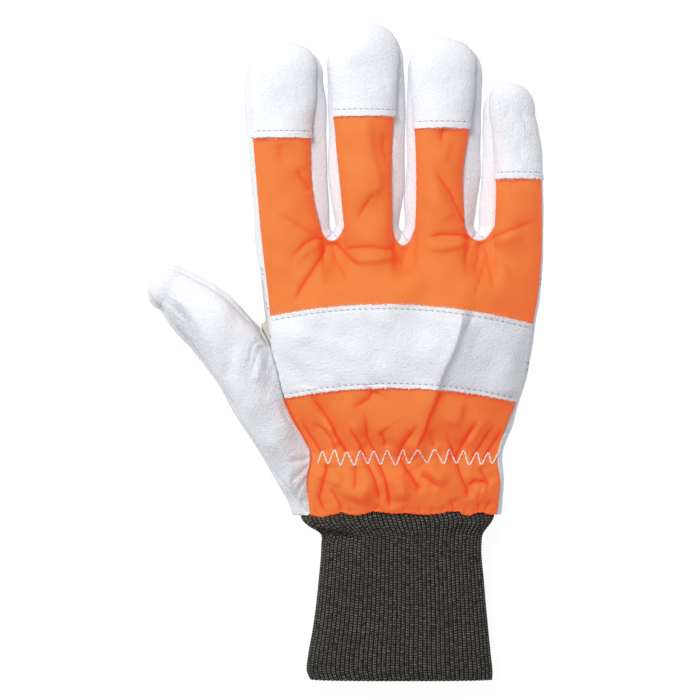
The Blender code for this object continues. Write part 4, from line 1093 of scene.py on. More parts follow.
def shell(outer, inner, faces):
    """The closed wall between two copies of some faces: its points, its triangles and the points it uses."""
    used, faces = np.unique(faces, return_inverse=True)
    faces = faces.reshape(-1, 3)
    count = len(used)
    edges = np.concatenate([faces[:, (k, (k + 1) % 3)] for k in range(3)])
    code = edges[:, 0] * np.int64(count) + edges[:, 1]
    back = edges[:, 1] * np.int64(count) + edges[:, 0]
    border = edges[~np.isin(code, back)]
    a, b = border[:, 0], border[:, 1]
    rim = np.concatenate((np.stack((b, a, b + count), 1), np.stack((a, a + count, b + count), 1)))
    closed = np.concatenate((faces, faces[:, ::-1] + count, rim))
    return np.concatenate((outer[used], inner[used])), closed, used


def panel_faces(skin, name):
    """A panel's triangles. The cloth also runs a little way under the caps."""
    faces = skin.faces[skin.panels == name]
    if name == "back_panel":
        centre = skin.points[skin.faces].mean(axis=1)
        for finger in NAMES:
            edge = FINGERS[finger]["cap_y"]
            tucked = (skin.panels == f"{finger}_cap") & (centre[:, 1] < edge + EDGE_ROWS[6])
            faces = np.concatenate((faces, skin.faces[tucked]))
    return faces


def add_panel(skin, name, relief, rise, distance, crease_shade, leather, cloth, lining):
    """One panel as a visual piece: a wall whose outer face has the relief, whose seams are rolled under."""
    faces = panel_faces(skin, name)
    is_cloth = name in ("back_panel", "wrist_panel")
    thick = CLOTH if is_cloth else LEATHER
    outer = relief.copy()
    inner = np.minimum(-thick, relief - LEAST_WALL)
    raw = np.zeros(len(skin.points))
    if name.endswith("_cap"):
        edge_y = FINGERS[name.split("_")[0]]["cap_y"]
        up = np.clip(skin.points[:, 1] - edge_y, 0, None)
        lift = smoothstep(1 - up / CAP_EDGE_REACH)
        side = smoothstep(distance / SEAM_ROLL)
        outer += CAP_PROUD * (1 - lift) + CUT_EDGE_HEIGHT * lift * (0.35 + 0.65 * side)
        inner = np.where(up < EDGE_ROWS[7], np.maximum(inner, outer - CUT_EDGE_HEIGHT + 0.05), inner)
        groove = np.exp(-(((up - CAP_STITCH_INSET) / STITCH_GROOVE_WIDTH) ** 2))
        outer -= STITCH_GROOVE * groove * side
        raw = np.exp(-((up / 0.5) ** 2))
    if name == "back_panel":
        for finger in NAMES:
            data = FINGERS[finger]
            inside = (skin.points[:, 0] > data["rows"][0][1] - 8) & (skin.points[:, 0] < data["rows"][0][4] + 8)
            under = inside & (skin.points[:, 1] > data["cap_y"] + 0.1)
            outer = np.where(under, outer - 0.12, outer)
    points = skin.points + skin.normals * outer[:, None]
    if name.endswith("_cap"):
        points = jagged(points, up, skin.points, 40 + NAMES.index(name.split("_")[0]))
    inward = skin.normals
    if is_cloth:
        upright = UPRIGHT_SHARE * smoothstep(distance / UPRIGHT_REACH)[:, None]
        inward = unit(skin.normals * (1 - upright * (1, 1, 0)))
    below = skin.points + inward * inner[:, None]
    points[:, 2] += rise
    below[:, 2] += rise
    made, closed, used = shell(points, below, faces)
    made[:, 2] = np.maximum(made[:, 2], 0.0)
    # How near a seam each point lies; the materials paint it darker there: painted shade, with some dirt on the
    # leather.
    seam = np.exp(-distance[used] / 0.6)
    attributes = {"seam": np.concatenate((seam, seam)), "raw": np.concatenate((raw[used], raw[used] * 0 + 0.6))}
    if is_cloth:
        attributes["crease_shade"] = np.concatenate((crease_shade[used], crease_shade[used]))
    else:
        attributes.update(leather_attributes(skin.points[used], skin.normals[used], name in ("thumb", "palm_panel")))
    inside = (np.arange(len(faces), 2 * len(faces)), lining) if is_cloth else None
    return to_mesh(f"{name}_look", made, closed, cloth if is_cloth else leather, attributes, lining=inside)


def leather_attributes(points, directions, has_web_shade):
    """What the leather's material needs at each outer and inner point: its creases, and the painted shade of its side
    walls and of the web.
    """
    along, across, strength = creases(points[:, :2])
    # Painted shade: the web that lies low behind the thumb's front edge is painted warm grey.
    off, share = line_field(points[:, :2], from_px(WEB_EDGE))
    side, _ = line_field(points[:, :2], from_px(WEB_SIDE))
    web = has_web_shade * smoothstep(off / WEB_REACH + 0.5) * smoothstep(share * 5) * smoothstep(0.5 - side)
    # Painted shade: leather that faces sideways or down is painted greyer on its side walls.
    wall = 1 - smoothstep(unit(directions)[:, 2] / SIDE_SHADE_LEAN)
    values = {"along": along, "across": across, "crease": strength, "web": web, "wall": wall}
    return {key: np.concatenate((value, value)) for key, value in values.items()}


def jagged(points, up, at, seed):
    """Cut edges wander a little: points near the edge move along y."""
    jitter = CUT_EDGE_JITTER * (ripple(at * (1, 0, 0), 1.1, seed) * 0.75 + ripple(at * (1, 0, 0), 3.5, seed + 9) * 0.2)
    points = points.copy()
    points[:, 1] += jitter * np.exp(-up / 0.6)
    return points


def add_strap(skin, relief, rise, distance, leather):
    """The knuckle strap: a band of leather over some of the back's rows, with its two edges cut."""
    first, last = (int(np.searchsorted(skin.stations, row)) for row in STRAP_ROWS)
    ids = skin.back_ids[first : last + 1]
    faces, _ = triangles(ids, skin.points)
    row_of = np.zeros(len(skin.points))
    row_of[ids] = np.broadcast_to(skin.stations[first : last + 1, None], ids.shape)
    below = (row_of - STRAP_ROWS[0]) * ROW_LENGTH
    above = (STRAP_ROWS[1] - row_of) * ROW_LENGTH
    edge = np.minimum(below, above)
    groove = np.exp(-(((edge - STITCH_INSET) / STITCH_GROOVE_WIDTH) ** 2))
    side = smoothstep(distance / SEAM_ROLL)
    plump = smoothstep((edge - STITCH_INSET) / 6.0)
    outer = relief + STRAP * (0.14 + 0.86 * side) + (0.25 * plump - STITCH_GROOVE * groove) * side
    inner = relief + 0.04
    points = skin.points + skin.normals * outer[:, None]
    base = skin.points + skin.normals * inner[:, None]
    points = jagged(points, edge, skin.points, 61)
    base = jagged(base, edge, skin.points, 61)
    points[:, 2] += rise
    base[:, 2] += rise
    made, closed, used = shell(points, base, faces)
    raw = np.exp(-((edge[used] / 0.5) ** 2))
    # As on the panels: darker near the seams, painted shade with some dirt.
    seam = np.exp(-distance[used] / 0.6)
    attributes = {"seam": np.concatenate((seam, seam)), "raw": np.concatenate((raw, raw * 0 + 0.6))}
    attributes.update(leather_attributes(skin.points[used], skin.normals[used], False))
    return to_mesh("knuckle_strap_look", made, closed, leather, attributes)


def resample(loop, count):
    """A closed loop of points cut into count even steps, from its first point."""
    loop = np.concatenate((loop, loop[:1]))
    length = np.concatenate(((0.0,), np.cumsum(np.linalg.norm(np.diff(loop, axis=0), axis=1))))
    at = np.linspace(0.0, length[-1], count + 1)[:-1]
    return np.column_stack([np.interp(at, length, loop[:, k]) for k in range(3)])


def cuff_ring(row, count):
    """A flattened oval section of the cuff, resting on the surface, starting at its left end."""
    s = dict(zip(CUFF_COLUMNS, row))
    angle = np.pi - np.arange(OVAL_STEPS) * 2 * np.pi / OVAL_STEPS
    power = 2.0 / CUFF_SQUARENESS
    c, d = np.cos(angle), np.sin(angle)
    oval = np.column_stack(
        (
            (s["x_l"] + s["x_r"]) / 2 + (s["x_r"] - s["x_l"]) / 2 * np.sign(c) * np.abs(c) ** power,
            np.full_like(angle, s["y"]),
            s["top_z"] / 2 + s["top_z"] / 2 * np.sign(d) * np.abs(d) ** power,
        )
    )
    return resample(oval, count)


def add_cuff(skin, knit):
    """The rib-knit cuff: a tube tucked into the wrist, whose ribs carry their slanted stitches."""
    count = RIBS * RIB_COLS
    wrist = resample(np.roll(skin.wrist, -np.argmin(skin.wrist[:, 0]), axis=0), count)
    for _ in range(WRIST_EVENING):
        wrist = (np.roll(wrist, WRIST_SPREAD, axis=0) + wrist + np.roll(wrist, -WRIST_SPREAD, axis=0)) / 3
    centre = wrist.mean(axis=0)
    inward = unit((centre - wrist) * (1, 0, 1))
    tucked = wrist + inward * (CUFF_INSET + 1.2) + (0, CUFF_TUCK, 0)
    start = wrist + inward * CUFF_INSET
    rings = np.array([tucked, start] + [cuff_ring(row, count) for row in CUFF])
    level = rings[:, :, 1].mean(axis=1)
    keys = np.concatenate(((0.0,), np.cumsum(np.abs(np.diff(level)))))
    rows = int(keys[-1] / STITCH_LENGTH * STITCH_ROWS)
    at = np.linspace(0, keys[-1], rows + 1)
    surface = np.array([through_rows(keys, rings, a) for a in at])
    for _ in range(CUFF_EVENING):
        surface[1:-1] = (surface[:-2] + 2 * surface[1:-1] + surface[2:]) / 4
    around = np.roll(surface, -1, axis=1) - np.roll(surface, 1, axis=1)
    down = np.gradient(surface, axis=0)
    out = unit(np.cross(around, -down))

    column = (np.arange(count) % RIB_COLS) / RIB_COLS
    across = np.abs(column - 0.5) * 2
    rib = np.cos(across * np.pi / 2) ** 0.8
    shift = np.repeat(np.random.default_rng(91).uniform(0, 1, RIBS), RIB_COLS)
    phase = at[:, None] / STITCH_LENGTH + STITCH_SLANT * across[None, :] + shift[None, :]
    knot = np.abs(np.sin(np.pi * phase))
    fade = smoothstep((keys[-1] - at) / 1.2)[:, None]
    height = RIB_HEIGHT * (rib[None, :] - 1) + STITCH_HEIGHT * (knot - 0.5) * rib[None, :] * fade
    relief = folds(surface.reshape(-1, 3)[:, :2], CUFF_FOLDS).reshape(height.shape)
    height = height + relief * smoothstep(out[:, :, 2] * 2)
    tangent = unit(around)
    wobble = RIB_WOBBLE * ripple(surface.reshape(-1, 3), 2.6, 81).reshape(height.shape)
    outer = surface + out * height[:, :, None] + tangent * wobble[:, :, None]
    few = np.linspace(0, rows, 12).astype(int)
    inner = (surface + out * (np.minimum(relief * smoothstep(out[:, :, 2] * 2), 0) - KNIT)[:, :, None])[few]
    outer[:, :, 2] = np.maximum(outer[:, :, 2], 0.0)
    inner[:, :, 2] = np.maximum(inner[:, :, 2], 0.35)

    ring = np.arange(count)
    after = (ring + 1) % count
    faces = []

    def band(top, bottom, flip):
        quad = (top + ring, top + after, bottom + after, bottom + ring)
        a, b, c, d = quad if flip else quad[::-1]
        faces.append(np.stack((a, b, c), 1))
        faces.append(np.stack((a, c, d), 1))

    for i in range(rows):
        band(i * count, (i + 1) * count, False)
    base = (rows + 1) * count
    for i in range(len(few) - 1):
        band(base + i * count, base + (i + 1) * count, True)
    band(0, base, True)
    band(rows * count, base + (len(few) - 1) * count, False)
    points = np.concatenate((outer.reshape(-1, 3), inner.reshape(-1, 3)))
    u = np.arange(count) / RIB_COLS
    uv = np.concatenate(
        (
            np.stack(np.broadcast_arrays(u[None, :], (at / STITCH_LENGTH)[:, None]), -1).reshape(-1, 2),
            np.stack(np.broadcast_arrays(u[None, :], (at[few] / STITCH_LENGTH)[:, None]), -1).reshape(-1, 2),
        )
    )
    shifts = np.tile(shift, len(outer) + len(inner))
    # How high each point stands on its rib, from which the knit's material paints the gaps between ribs dark as shade.
    depth = np.concatenate((np.broadcast_to(rib, outer.shape[:2]).ravel(), np.zeros(inner.shape[0] * count) + 0.6))
    return to_mesh("knit_cuff_look", points, np.concatenate(faces), knit, {"rib": depth, "shift": shifts}, uv)


def tubes(paths, radii, sides, up=(0.0, 0.0, 1.0)):
    """Closed tubes along many short paths at once: paths is tubes x points x 3."""
    paths = np.asarray(paths, float)
    n, k, _ = paths.shape
    tangent = unit(np.gradient(paths, axis=1))
    side = unit(np.cross(tangent, np.broadcast_to(up, tangent.shape)))
    lift = np.cross(side, tangent)
    angle = np.arange(sides) * 2 * np.pi / sides
    radii = np.broadcast_to(radii, (n, k))[:, :, None, None]
    ring = side[:, :, None] * np.cos(angle)[:, None] + lift[:, :, None] * np.sin(angle)[:, None]
    points = (paths[:, :, None] + ring * radii).reshape(-1, 3)
    faces = []
    one = np.arange(sides)
    two = (one + 1) % sides
    for i in range(k - 1):
        a, b, c, d = i * sides + one, i * sides + two, (i + 1) * sides + two, (i + 1) * sides + one
        faces += [np.stack((a, c, b), 1), np.stack((a, d, c), 1)]
    fan = np.arange(1, sides - 1)
    faces.append(np.stack((fan * 0, fan, fan + 1), 1))
    end = (k - 1) * sides
    faces.append(np.stack((fan * 0 + end, fan + 1 + end, fan + end), 1))
    faces = np.concatenate(faces)
    return points, (faces[None] + (np.arange(n) * k * sides)[:, None, None]).reshape(-1, 3)


class Surface:
    """The visible top of the dressed glove, to lay threads and stitches on."""

    def __init__(self, pieces):
        points, faces = [], []
        start = 0
        for piece in pieces:
            mesh = piece.data
            co = np.empty(len(mesh.vertices) * 3, np.float32)
            mesh.vertices.foreach_get("co", co)
            index = np.empty(len(mesh.loops), np.int32)
            mesh.loops.foreach_get("vertex_index", index)
            points.append(co.reshape(-1, 3) / MM)
            faces.append(index.reshape(-1, 3) + start)
            start += len(mesh.vertices)
        self.tree = BVHTree.FromPolygons(np.concatenate(points).tolist(), np.concatenate(faces).tolist())

    def drop(self, xy):
        """The surface's points and normals straight under each place."""
        points, normals = [], []
        for x, y in xy:
            hit, normal, _, _ = self.tree.ray_cast(Vector((x, y, 80.0)), Vector((0, 0, -1)))
            points.append(hit if hit is not None else (x, y, 0.0))
            normals.append(normal if normal is not None else (0, 0, 1))
        return np.array(points), np.array(normals)


def stitch_row(surface, line, step, shadow_dash):
    """A row of stitches along a line in the plan: pale threads, and between them dark slanted dashes that
    are painted shadow of the needle holes.
    """
    length = np.concatenate(((0.0,), np.cumsum(np.linalg.norm(np.diff(line, axis=0), axis=1))))
    count = max(int(round(length[-1] / step)), 1)
    step = length[-1] / count
    along = np.linspace(-0.5, 0.5, 7)

    def place(centre, reach, slant, lift, sink):
        at = centre[:, None] + along * reach
        xy = np.stack([np.interp(at, length, line[:, k]) for k in range(2)], -1)
        xy[:, :, 1] -= slant * along * reach
        points, normals = surface.drop(xy.reshape(-1, 2))
        bend = (lift - (lift + sink) * (2 * np.abs(along)) ** 2.5)[None, :, None]
        return points.reshape(xy.shape[:2] + (3,)) + normals.reshape(xy.shape[:2] + (3,)) * bend

    threads = place((np.arange(count) + 0.5) * step, step * 0.94, 0.0, 0.06, 0.3)
    shadow_dashes = place(np.arange(1, count) * step, shadow_dash, 0.5, 0.07, 0.12)
    return tubes(threads, STITCH_RADIUS, 6), tubes(shadow_dashes, CROSSING_RADIUS, 6)


def short_tack(surface, ends):
    """A short loose end of thread between two places in the plan."""
    along = np.linspace(0, 1, 5)
    points, normals = surface.drop(ends[0] + (ends[1] - ends[0]) * along[:, None])
    return tubes((points + normals * (0.12 * np.sin(np.pi * along) - 0.05)[:, None])[None], CROSSING_RADIUS, 6)


def joined(parts):
    points, faces = [], []
    start = 0
    for p, f in parts:
        points.append(p)
        faces.append(f + start)
        start += len(p)
    return np.concatenate(points), np.concatenate(faces)


def skin_row(skin, row, offset):
    """The plan of one of the hand's rows on the back, moved offset along y, without its ends at the seams."""
    i = int(np.argmin(np.abs(skin.stations - row)))
    line = skin.points[skin.back_ids[i]][2:-2, :2]
    return line + (0, offset)


def strap_edge(skin, at_row, inward):
    """The plan of the strap's edge, inward millimetres inside it."""
    row = STRAP_ROWS[at_row] + (inward if at_row == 0 else -inward) / ROW_LENGTH
    return skin_row(skin, row, 0.0)


def cap_line(name, inward):
    """The plan of a line across a finger's back, inward millimetres above its cap's edge."""
    y = FINGERS[name]["cap_y"] + inward
    back = finger_ring(name, y)["back"]
    return back[3:-3, :2]


def fibres(edge, outward, seed, surface):
    """Loose fibres of leather that stand out of a cut edge, as thin bent tubes."""
    rng = np.random.default_rng(seed)
    length = np.concatenate(((0.0,), np.cumsum(np.linalg.norm(np.diff(edge, axis=0), axis=1))))
    count = int(length[-1] * FIBRES_PER_MM)
    at = rng.uniform(0, length[-1], count)
    xy = np.stack([np.interp(at, length, edge[:, k]) for k in range(2)], -1)
    start, _ = surface.drop(xy - (0, outward * 0.25))
    start[:, 2] -= rng.uniform(0.1, 0.8, count)
    reach = FIBRE_LENGTH[0] + (FIBRE_LENGTH[1] - FIBRE_LENGTH[0]) * rng.uniform(0, 1, count) ** 3
    lean = rng.normal(0, 0.7, count)
    curl = rng.normal(0, 0.5, count)
    t = np.linspace(0, 1, 4)
    paths = np.repeat(start[:, None], 4, axis=1)
    paths[:, :, 1] += outward * reach[:, None] * t
    paths[:, :, 0] += reach[:, None] * (lean[:, None] * t + curl[:, None] * t * t)
    paths[:, :, 2] += reach[:, None] * 0.35 * np.sin(np.pi * t) - 0.25 * reach[:, None] * t
    return tubes(paths, FIBRE_RADIUS * (1 - 0.7 * t), 4)


def rounded(line, times):
    """A line with its corners cut off a few times over."""
    for _ in range(times):
        cut = np.stack((line[:-1] * 0.88 + line[1:] * 0.12, line[:-1] * 0.12 + line[1:] * 0.88), 1).reshape(-1, 2)
        line = np.concatenate((line[:1], cut, line[-1:]))
    return line


def zigzag(surface):
    """The thread that holds the elastic: three stitches to each leg of a zigzag, one of them round its turn."""
    line = rounded(from_px(ZIGZAG), 2)
    length = np.concatenate(((0.0,), np.cumsum(np.linalg.norm(np.diff(line, axis=0), axis=1))))
    count = ZIGZAG_STITCHES * (len(ZIGZAG) - 1)
    along = np.linspace(0, 1, 9)
    at = (np.arange(count)[:, None] + 0.5 + along) * length[-1] / (count + 1)
    xy = np.stack([np.interp(at, length, line[:, k]) for k in range(2)], -1)
    points, normals = surface.drop(xy.reshape(-1, 2))
    lift = (-0.25 + 0.5 * np.sin(np.pi * along) ** 0.5)[None, :, None]
    return tubes(points.reshape(xy.shape[:2] + (3,)) + normals.reshape(xy.shape[:2] + (3,)) * lift, ZIGZAG_RADIUS, 8)


class Nodes:
    """Short names for building a material's node tree."""

    def __init__(self, name):
        self.material = bpy.data.materials.new(name)
        self.material.use_nodes = True
        self.tree = self.material.node_tree
        self.shader = self.tree.nodes["Principled BSDF"]

    def add(self, kind, inputs=None, **settings):
        node = self.tree.nodes.new(kind)
        for key, value in settings.items():
            setattr(node, key, value)
        for key, value in (inputs or {}).items():
            if isinstance(value, bpy.types.NodeSocket):
                self.tree.links.new(value, node.inputs[key])
            else:
                node.inputs[key].default_value = value
        return node

    def math(self, operation, *values):
        return self.add("ShaderNodeMath", dict(enumerate(values)), operation=operation).outputs[0]

    def mix(self, factor, a, b):
        node = self.tree.nodes.new("ShaderNodeMix")
        node.data_type = "RGBA"
        for socket, value in ((node.inputs[0], factor), (node.inputs[6], a), (node.inputs[7], b)):
            if isinstance(value, bpy.types.NodeSocket):
                self.tree.links.new(value, socket)
            else:
                socket.default_value = value
        return node.outputs[2]

    def place(self, scale=(1.0, 1.0, 1.0), rotation=(0.0, 0.0, 0.0)):
        coords = self.add("ShaderNodeTexCoord").outputs["Object"]
        return self.add("ShaderNodeMapping", {"Vector": coords, "Scale": scale, "Rotation": rotation}).outputs[0]

    def attribute(self, name):
        return self.add("ShaderNodeAttribute", attribute_name=name).outputs["Fac"]

    def noise(self, vector, scale, detail=3.0, roughness=0.55, distortion=0.0):
        inputs = {"Vector": vector, "Scale": scale, "Detail": detail, "Roughness": roughness,
                  "Distortion": distortion}
        return self.add("ShaderNodeTexNoise", inputs).outputs["Fac"]

    def ramp(self, value, low, high):
        node = self.add("ShaderNodeMapRange", {"Value": value, "From Min": low, "From Max": high})
        return node.outputs[0]

    def ridge(self, value, width):
        """1 on the lines where a noise crosses its middle, falling to 0 within width."""
        return self.ramp(self.math("ABSOLUTE", self.math("SUBTRACT", value, 0.5)), width, 0.0)

    def link(self, value, key):
        self.tree.links.new(value, self.shader.inputs[key])

    def bump(self, height, strength, distance, before=None):
        inputs = {"Height": height, "Strength": strength, "Distance": distance * MM}
        if before is not None:
            inputs["Normal"] = before
        return self.add("ShaderNodeBump", inputs).outputs[0]


def leather_material():
    """White full-grain leather: pebbled grain, fine wrinkles, creases where it bends, fleshy at its cut edges.
    It carries painted shade on its side walls, in its creases, along its seams and on the web.
    """
    m = Nodes("white_grain_leather")
    at = m.place()
    warp = m.add("ShaderNodeTexNoise", {"Vector": at, "Scale": 260.0, "Detail": 2.0}).outputs["Color"]
    shift = m.add("ShaderNodeVectorMath", {0: warp, 1: (0.0016, 0.0016, 0.0016)}, operation="MULTIPLY").outputs[0]
    bent = m.add("ShaderNodeVectorMath", {0: at, 1: shift}, operation="ADD").outputs[0]
    cells = m.add("ShaderNodeTexVoronoi", {"Vector": bent, "Scale": 1150.0}, feature="SMOOTH_F1").outputs["Distance"]
    streak = m.place(scale=(1.0, 1.9, 1.0), rotation=(0.0, 0.0, -0.5))
    wrinkle = m.ridge(m.noise(streak, 430.0, 3.0, 0.6, 0.8), 0.13)
    broad = m.noise(at, 55.0, 3.0)
    amount = m.ramp(m.noise(at, 42.0, 2.0), 0.2, 0.62)
    plain = m.math("MULTIPLY", wrinkle, amount)
    guide = m.add("ShaderNodeCombineXYZ", {0: m.math("MULTIPLY", m.attribute("along"), 0.30),
                                           1: m.math("MULTIPLY", m.attribute("across"), 1.0)}).outputs[0]
    line = m.ridge(m.noise(guide, 1.0, 3.0, 0.55, 0.5), 0.14)
    crease = m.math("MULTIPLY", line, m.attribute("crease"))
    seam = m.attribute("seam")
    raw = m.attribute("raw")
    tone = m.mix(m.ramp(broad, 0.35, 0.7), (0.845, 0.86, 0.895, 1), (0.83, 0.845, 0.885, 1))
    tone = m.mix(m.math("MULTIPLY", m.ramp(cells, 0.45, 0.75), 0.12), tone, (0.60, 0.60, 0.66, 1))
    # Painted shade: greyer where the leather faces sideways or down, on its side walls.
    tone = m.mix(m.math("MULTIPLY", m.attribute("wall"), 0.32), tone, (0.56, 0.56, 0.60, 1))
    # Painted shade: a little darker in the creases.
    tone = m.mix(m.math("MULTIPLY", crease, 0.08), tone, (0.5, 0.48, 0.52, 1))
    # Darker along the seams: painted shade, with some dirt.
    tone = m.mix(m.math("MULTIPLY", seam, 0.22), tone, (0.50, 0.47, 0.50, 1))
    tone = m.mix(m.math("MULTIPLY", raw, 0.8), tone, (0.90, 0.86, 0.86, 1))
    # Painted shade: warm grey on the web that lies low behind the thumb's front edge.
    tone = m.mix(m.math("MULTIPLY", m.attribute("web"), 0.85), tone, (0.56, 0.54, 0.50, 1))
    m.link(tone, "Base Color")
    rough = m.math("ADD", 0.42, m.math("MULTIPLY", broad, 0.2))
    m.link(m.math("ADD", rough, m.math("MULTIPLY", raw, 0.3)), "Roughness")
    m.shader.inputs["Specular IOR Level"].default_value = 0.35
    normal = m.bump(m.math("MULTIPLY", plain, -1.0), 0.6, 0.13)
    normal = m.bump(m.math("MULTIPLY", crease, -1.0), 0.8, 0.25, normal)
    normal = m.bump(m.math("MULTIPLY", cells, -1.0), 0.9, 0.22, normal)
    m.link(normal, "Normal")
    return m.material


def cloth_material():
    """Fluorescent orange twill: a steady red glow, painted light that ignores the lamps, stands in for its dye,
    so shade turns it redder, not dark.
    """
    m = Nodes("orange_twill")
    at = m.place()
    apart = m.add("ShaderNodeSeparateXYZ", {0: at}).outputs
    x, y = apart[0], apart[1]
    warp = m.math("SINE", m.math("MULTIPLY", x, 2 * np.pi / (0.55 * MM)))
    weft = m.math("SINE", m.math("MULTIPLY", y, 2 * np.pi / (0.50 * MM)))
    twill = m.math("SINE", m.math("MULTIPLY", m.math("ADD", x, y), 2 * np.pi / (0.80 * MM)))
    weave = m.math("ADD", m.math("MULTIPLY", m.math("ADD", warp, weft), 0.25), m.math("MULTIPLY", twill, 0.5))
    broad = m.noise(at, 30.0, 3.0)
    speck = m.noise(at, 1400.0, 2.0)
    tone = m.mix(m.ramp(broad, 0.3, 0.7), (0.23, 0.206, 0.044, 1), (0.22, 0.180, 0.040, 1))
    tone = m.mix(m.math("MULTIPLY", m.ramp(speck, 0.5, 0.8), 0.25), tone, (0.26, 0.26, 0.08, 1))
    tone = m.mix(m.math("MULTIPLY", m.ramp(weave, 0.0, -0.9), 0.2), tone, (0.22, 0.12, 0.02, 1))
    # Painted shade: the cloth is painted deep red along the bottoms of its creases.
    tone = m.mix(m.math("MULTIPLY", m.attribute("crease_shade"), 0.9), tone, (0.23, 0.036, 0.012, 1))
    # Painted shade: the cloth is painted deeper red along its seams.
    tone = m.mix(m.math("MULTIPLY", m.attribute("seam"), 0.5), tone, (0.24, 0.05, 0.014, 1))
    m.link(tone, "Base Color")
    m.link(m.math("ADD", 0.62, m.math("MULTIPLY", broad, 0.15)), "Roughness")
    m.shader.inputs["Specular IOR Level"].default_value = 0.2
    m.shader.inputs["Sheen Weight"].default_value = 0.06
    m.shader.inputs["Sheen Roughness"].default_value = 0.5
    m.shader.inputs["Sheen Tint"].default_value = (1.0, 0.6, 0.35, 1)
    # Painted light: a red glow of steady strength, whatever light falls on the cloth, that keeps its red bright in
    # shade.
    m.shader.inputs["Emission Color"].default_value = (1.0, 0.03, 0.008, 1)
    m.shader.inputs["Emission Strength"].default_value = 0.64
    normal = m.bump(weave, 0.3, 0.06)
    normal = m.bump(m.noise(at, 420.0, 3.0), 0.15, 0.18, normal)
    m.link(normal, "Normal")
    return m.material


def lining_material():
    """Off-white brushed cotton on the inner face of the cloth."""
    m = Nodes("cotton_lining")
    at = m.place()
    nap = m.noise(at, 900.0, 3.0)
    m.link(m.mix(nap, (0.50, 0.48, 0.43, 1), (0.62, 0.60, 0.55, 1)), "Base Color")
    m.link(m.math("ADD", 0.8, m.math("MULTIPLY", nap, 0.15)), "Roughness")
    m.link(m.bump(nap, 0.4, 0.15), "Normal")
    return m.material


def knit_material():
    """Black-olive rib knit: painted shade between the ribs, a painted highlight on each stitch, and a fuzzy yarn."""
    m = Nodes("black_rib_knit")
    uv = m.add("ShaderNodeTexCoord").outputs["UV"]
    at = m.place()
    drift = m.noise(m.add("ShaderNodeMapping", {"Vector": uv, "Scale": (0.9, 0.3, 1.0)}).outputs[0], 1.0, 2.0)
    apart = m.add("ShaderNodeSeparateXYZ", {0: uv}).outputs
    sway = m.math("MULTIPLY", m.math("SUBTRACT", drift, 0.5), 0.1)
    side = m.math("SUBTRACT", m.math("FRACT", m.math("ADD", apart[0], sway)), 0.5)
    across = m.math("ABSOLUTE", side)
    slant = m.math("ADD", apart[1], m.math("MULTIPLY", across, 2 * STITCH_SLANT))
    slant = m.math("ADD", slant, m.attribute("shift"))
    stitch = m.math("ABSOLUTE", m.math("SINE", m.math("MULTIPLY", slant, np.pi)))
    legs = m.math("ABSOLUTE", m.math("SINE", m.math("MULTIPLY", side, 2.6 * np.pi)))
    rib = m.math("MULTIPLY", m.ramp(across, 0.5, 0.3), m.ramp(m.attribute("rib"), 0.0, 0.5))
    fuzz = m.noise(at, 2300.0, 3.0)
    patch = m.noise(at, 700.0, 2.0)
    # Painted highlight: a lighter mark on the crown of each stitch of a rib.
    stitch_highlight = m.math("MULTIPLY", m.ramp(stitch, 0.42, 1.0), rib)
    stitch_highlight = m.math("MULTIPLY", stitch_highlight, m.ramp(legs, 0.2, 0.9))
    stitch_highlight = m.math("MULTIPLY", stitch_highlight, m.ramp(patch, 0.3, 0.62))
    # Painted shade: the gaps between the ribs are painted near black.
    tone = m.mix(rib, (0.0034, 0.0031, 0.0022, 1), (0.015, 0.0148, 0.0115, 1))
    tone = m.mix(stitch_highlight, tone, (0.275, 0.262, 0.22, 1))
    tone = m.mix(m.math("MULTIPLY", m.ramp(m.noise(at, 90.0, 2.0), 0.3, 0.7), 0.25), tone, (0.03, 0.024, 0.018, 1))
    m.link(tone, "Base Color")
    m.shader.inputs["Roughness"].default_value = 0.9
    m.shader.inputs["Specular IOR Level"].default_value = 0.2
    m.shader.inputs["Sheen Weight"].default_value = 0.05
    m.shader.inputs["Sheen Roughness"].default_value = 0.6
    m.link(m.bump(fuzz, 0.5, 0.12), "Normal")
    return m.material


def thread_material(name, colour, roughness):
    """Spun thread, with its twist as fine slanted bands."""
    m = Nodes(name)
    at = m.place()
    apart = m.add("ShaderNodeSeparateXYZ", {0: at}).outputs
    twist = m.math("SINE", m.math("MULTIPLY", m.math("ADD", apart[0], apart[1]), 2 * np.pi / (0.3 * MM)))
    dark = tuple(c * 0.78 for c in colour[:3]) + (1,)
    m.link(m.mix(m.ramp(twist, 1.0, -1.0), colour, dark), "Base Color")
    m.shader.inputs["Roughness"].default_value = roughness
    m.link(m.bump(twist, 0.4, 0.06), "Normal")
    return m.material


def floor_material():
    m = Nodes("white_floor")
    m.shader.inputs["Base Color"].default_value = (0.14, 0.14, 0.14, 1)
    m.shader.inputs["Roughness"].default_value = 0.9
    m.shader.inputs["Emission Color"].default_value = (1, 1, 1, 1)
    m.shader.inputs["Emission Strength"].default_value = 0.93
    return m.material


def area_light(name, place, size, power, colour=(1, 1, 1)):
    light = bpy.data.lights.new(name, "AREA")
    light.shape = "SQUARE"
    light.size = size
    light.energy = power
    light.color = colour
    made = bpy.data.objects.new(name, light)
    made.location = place
    aim = Vector((0.0, 0.0, 0.01)) - Vector(place)
    made.rotation_euler = aim.to_track_quat("-Z", "Y").to_euler()
    bpy.context.scene.collection.objects.link(made)
    return made


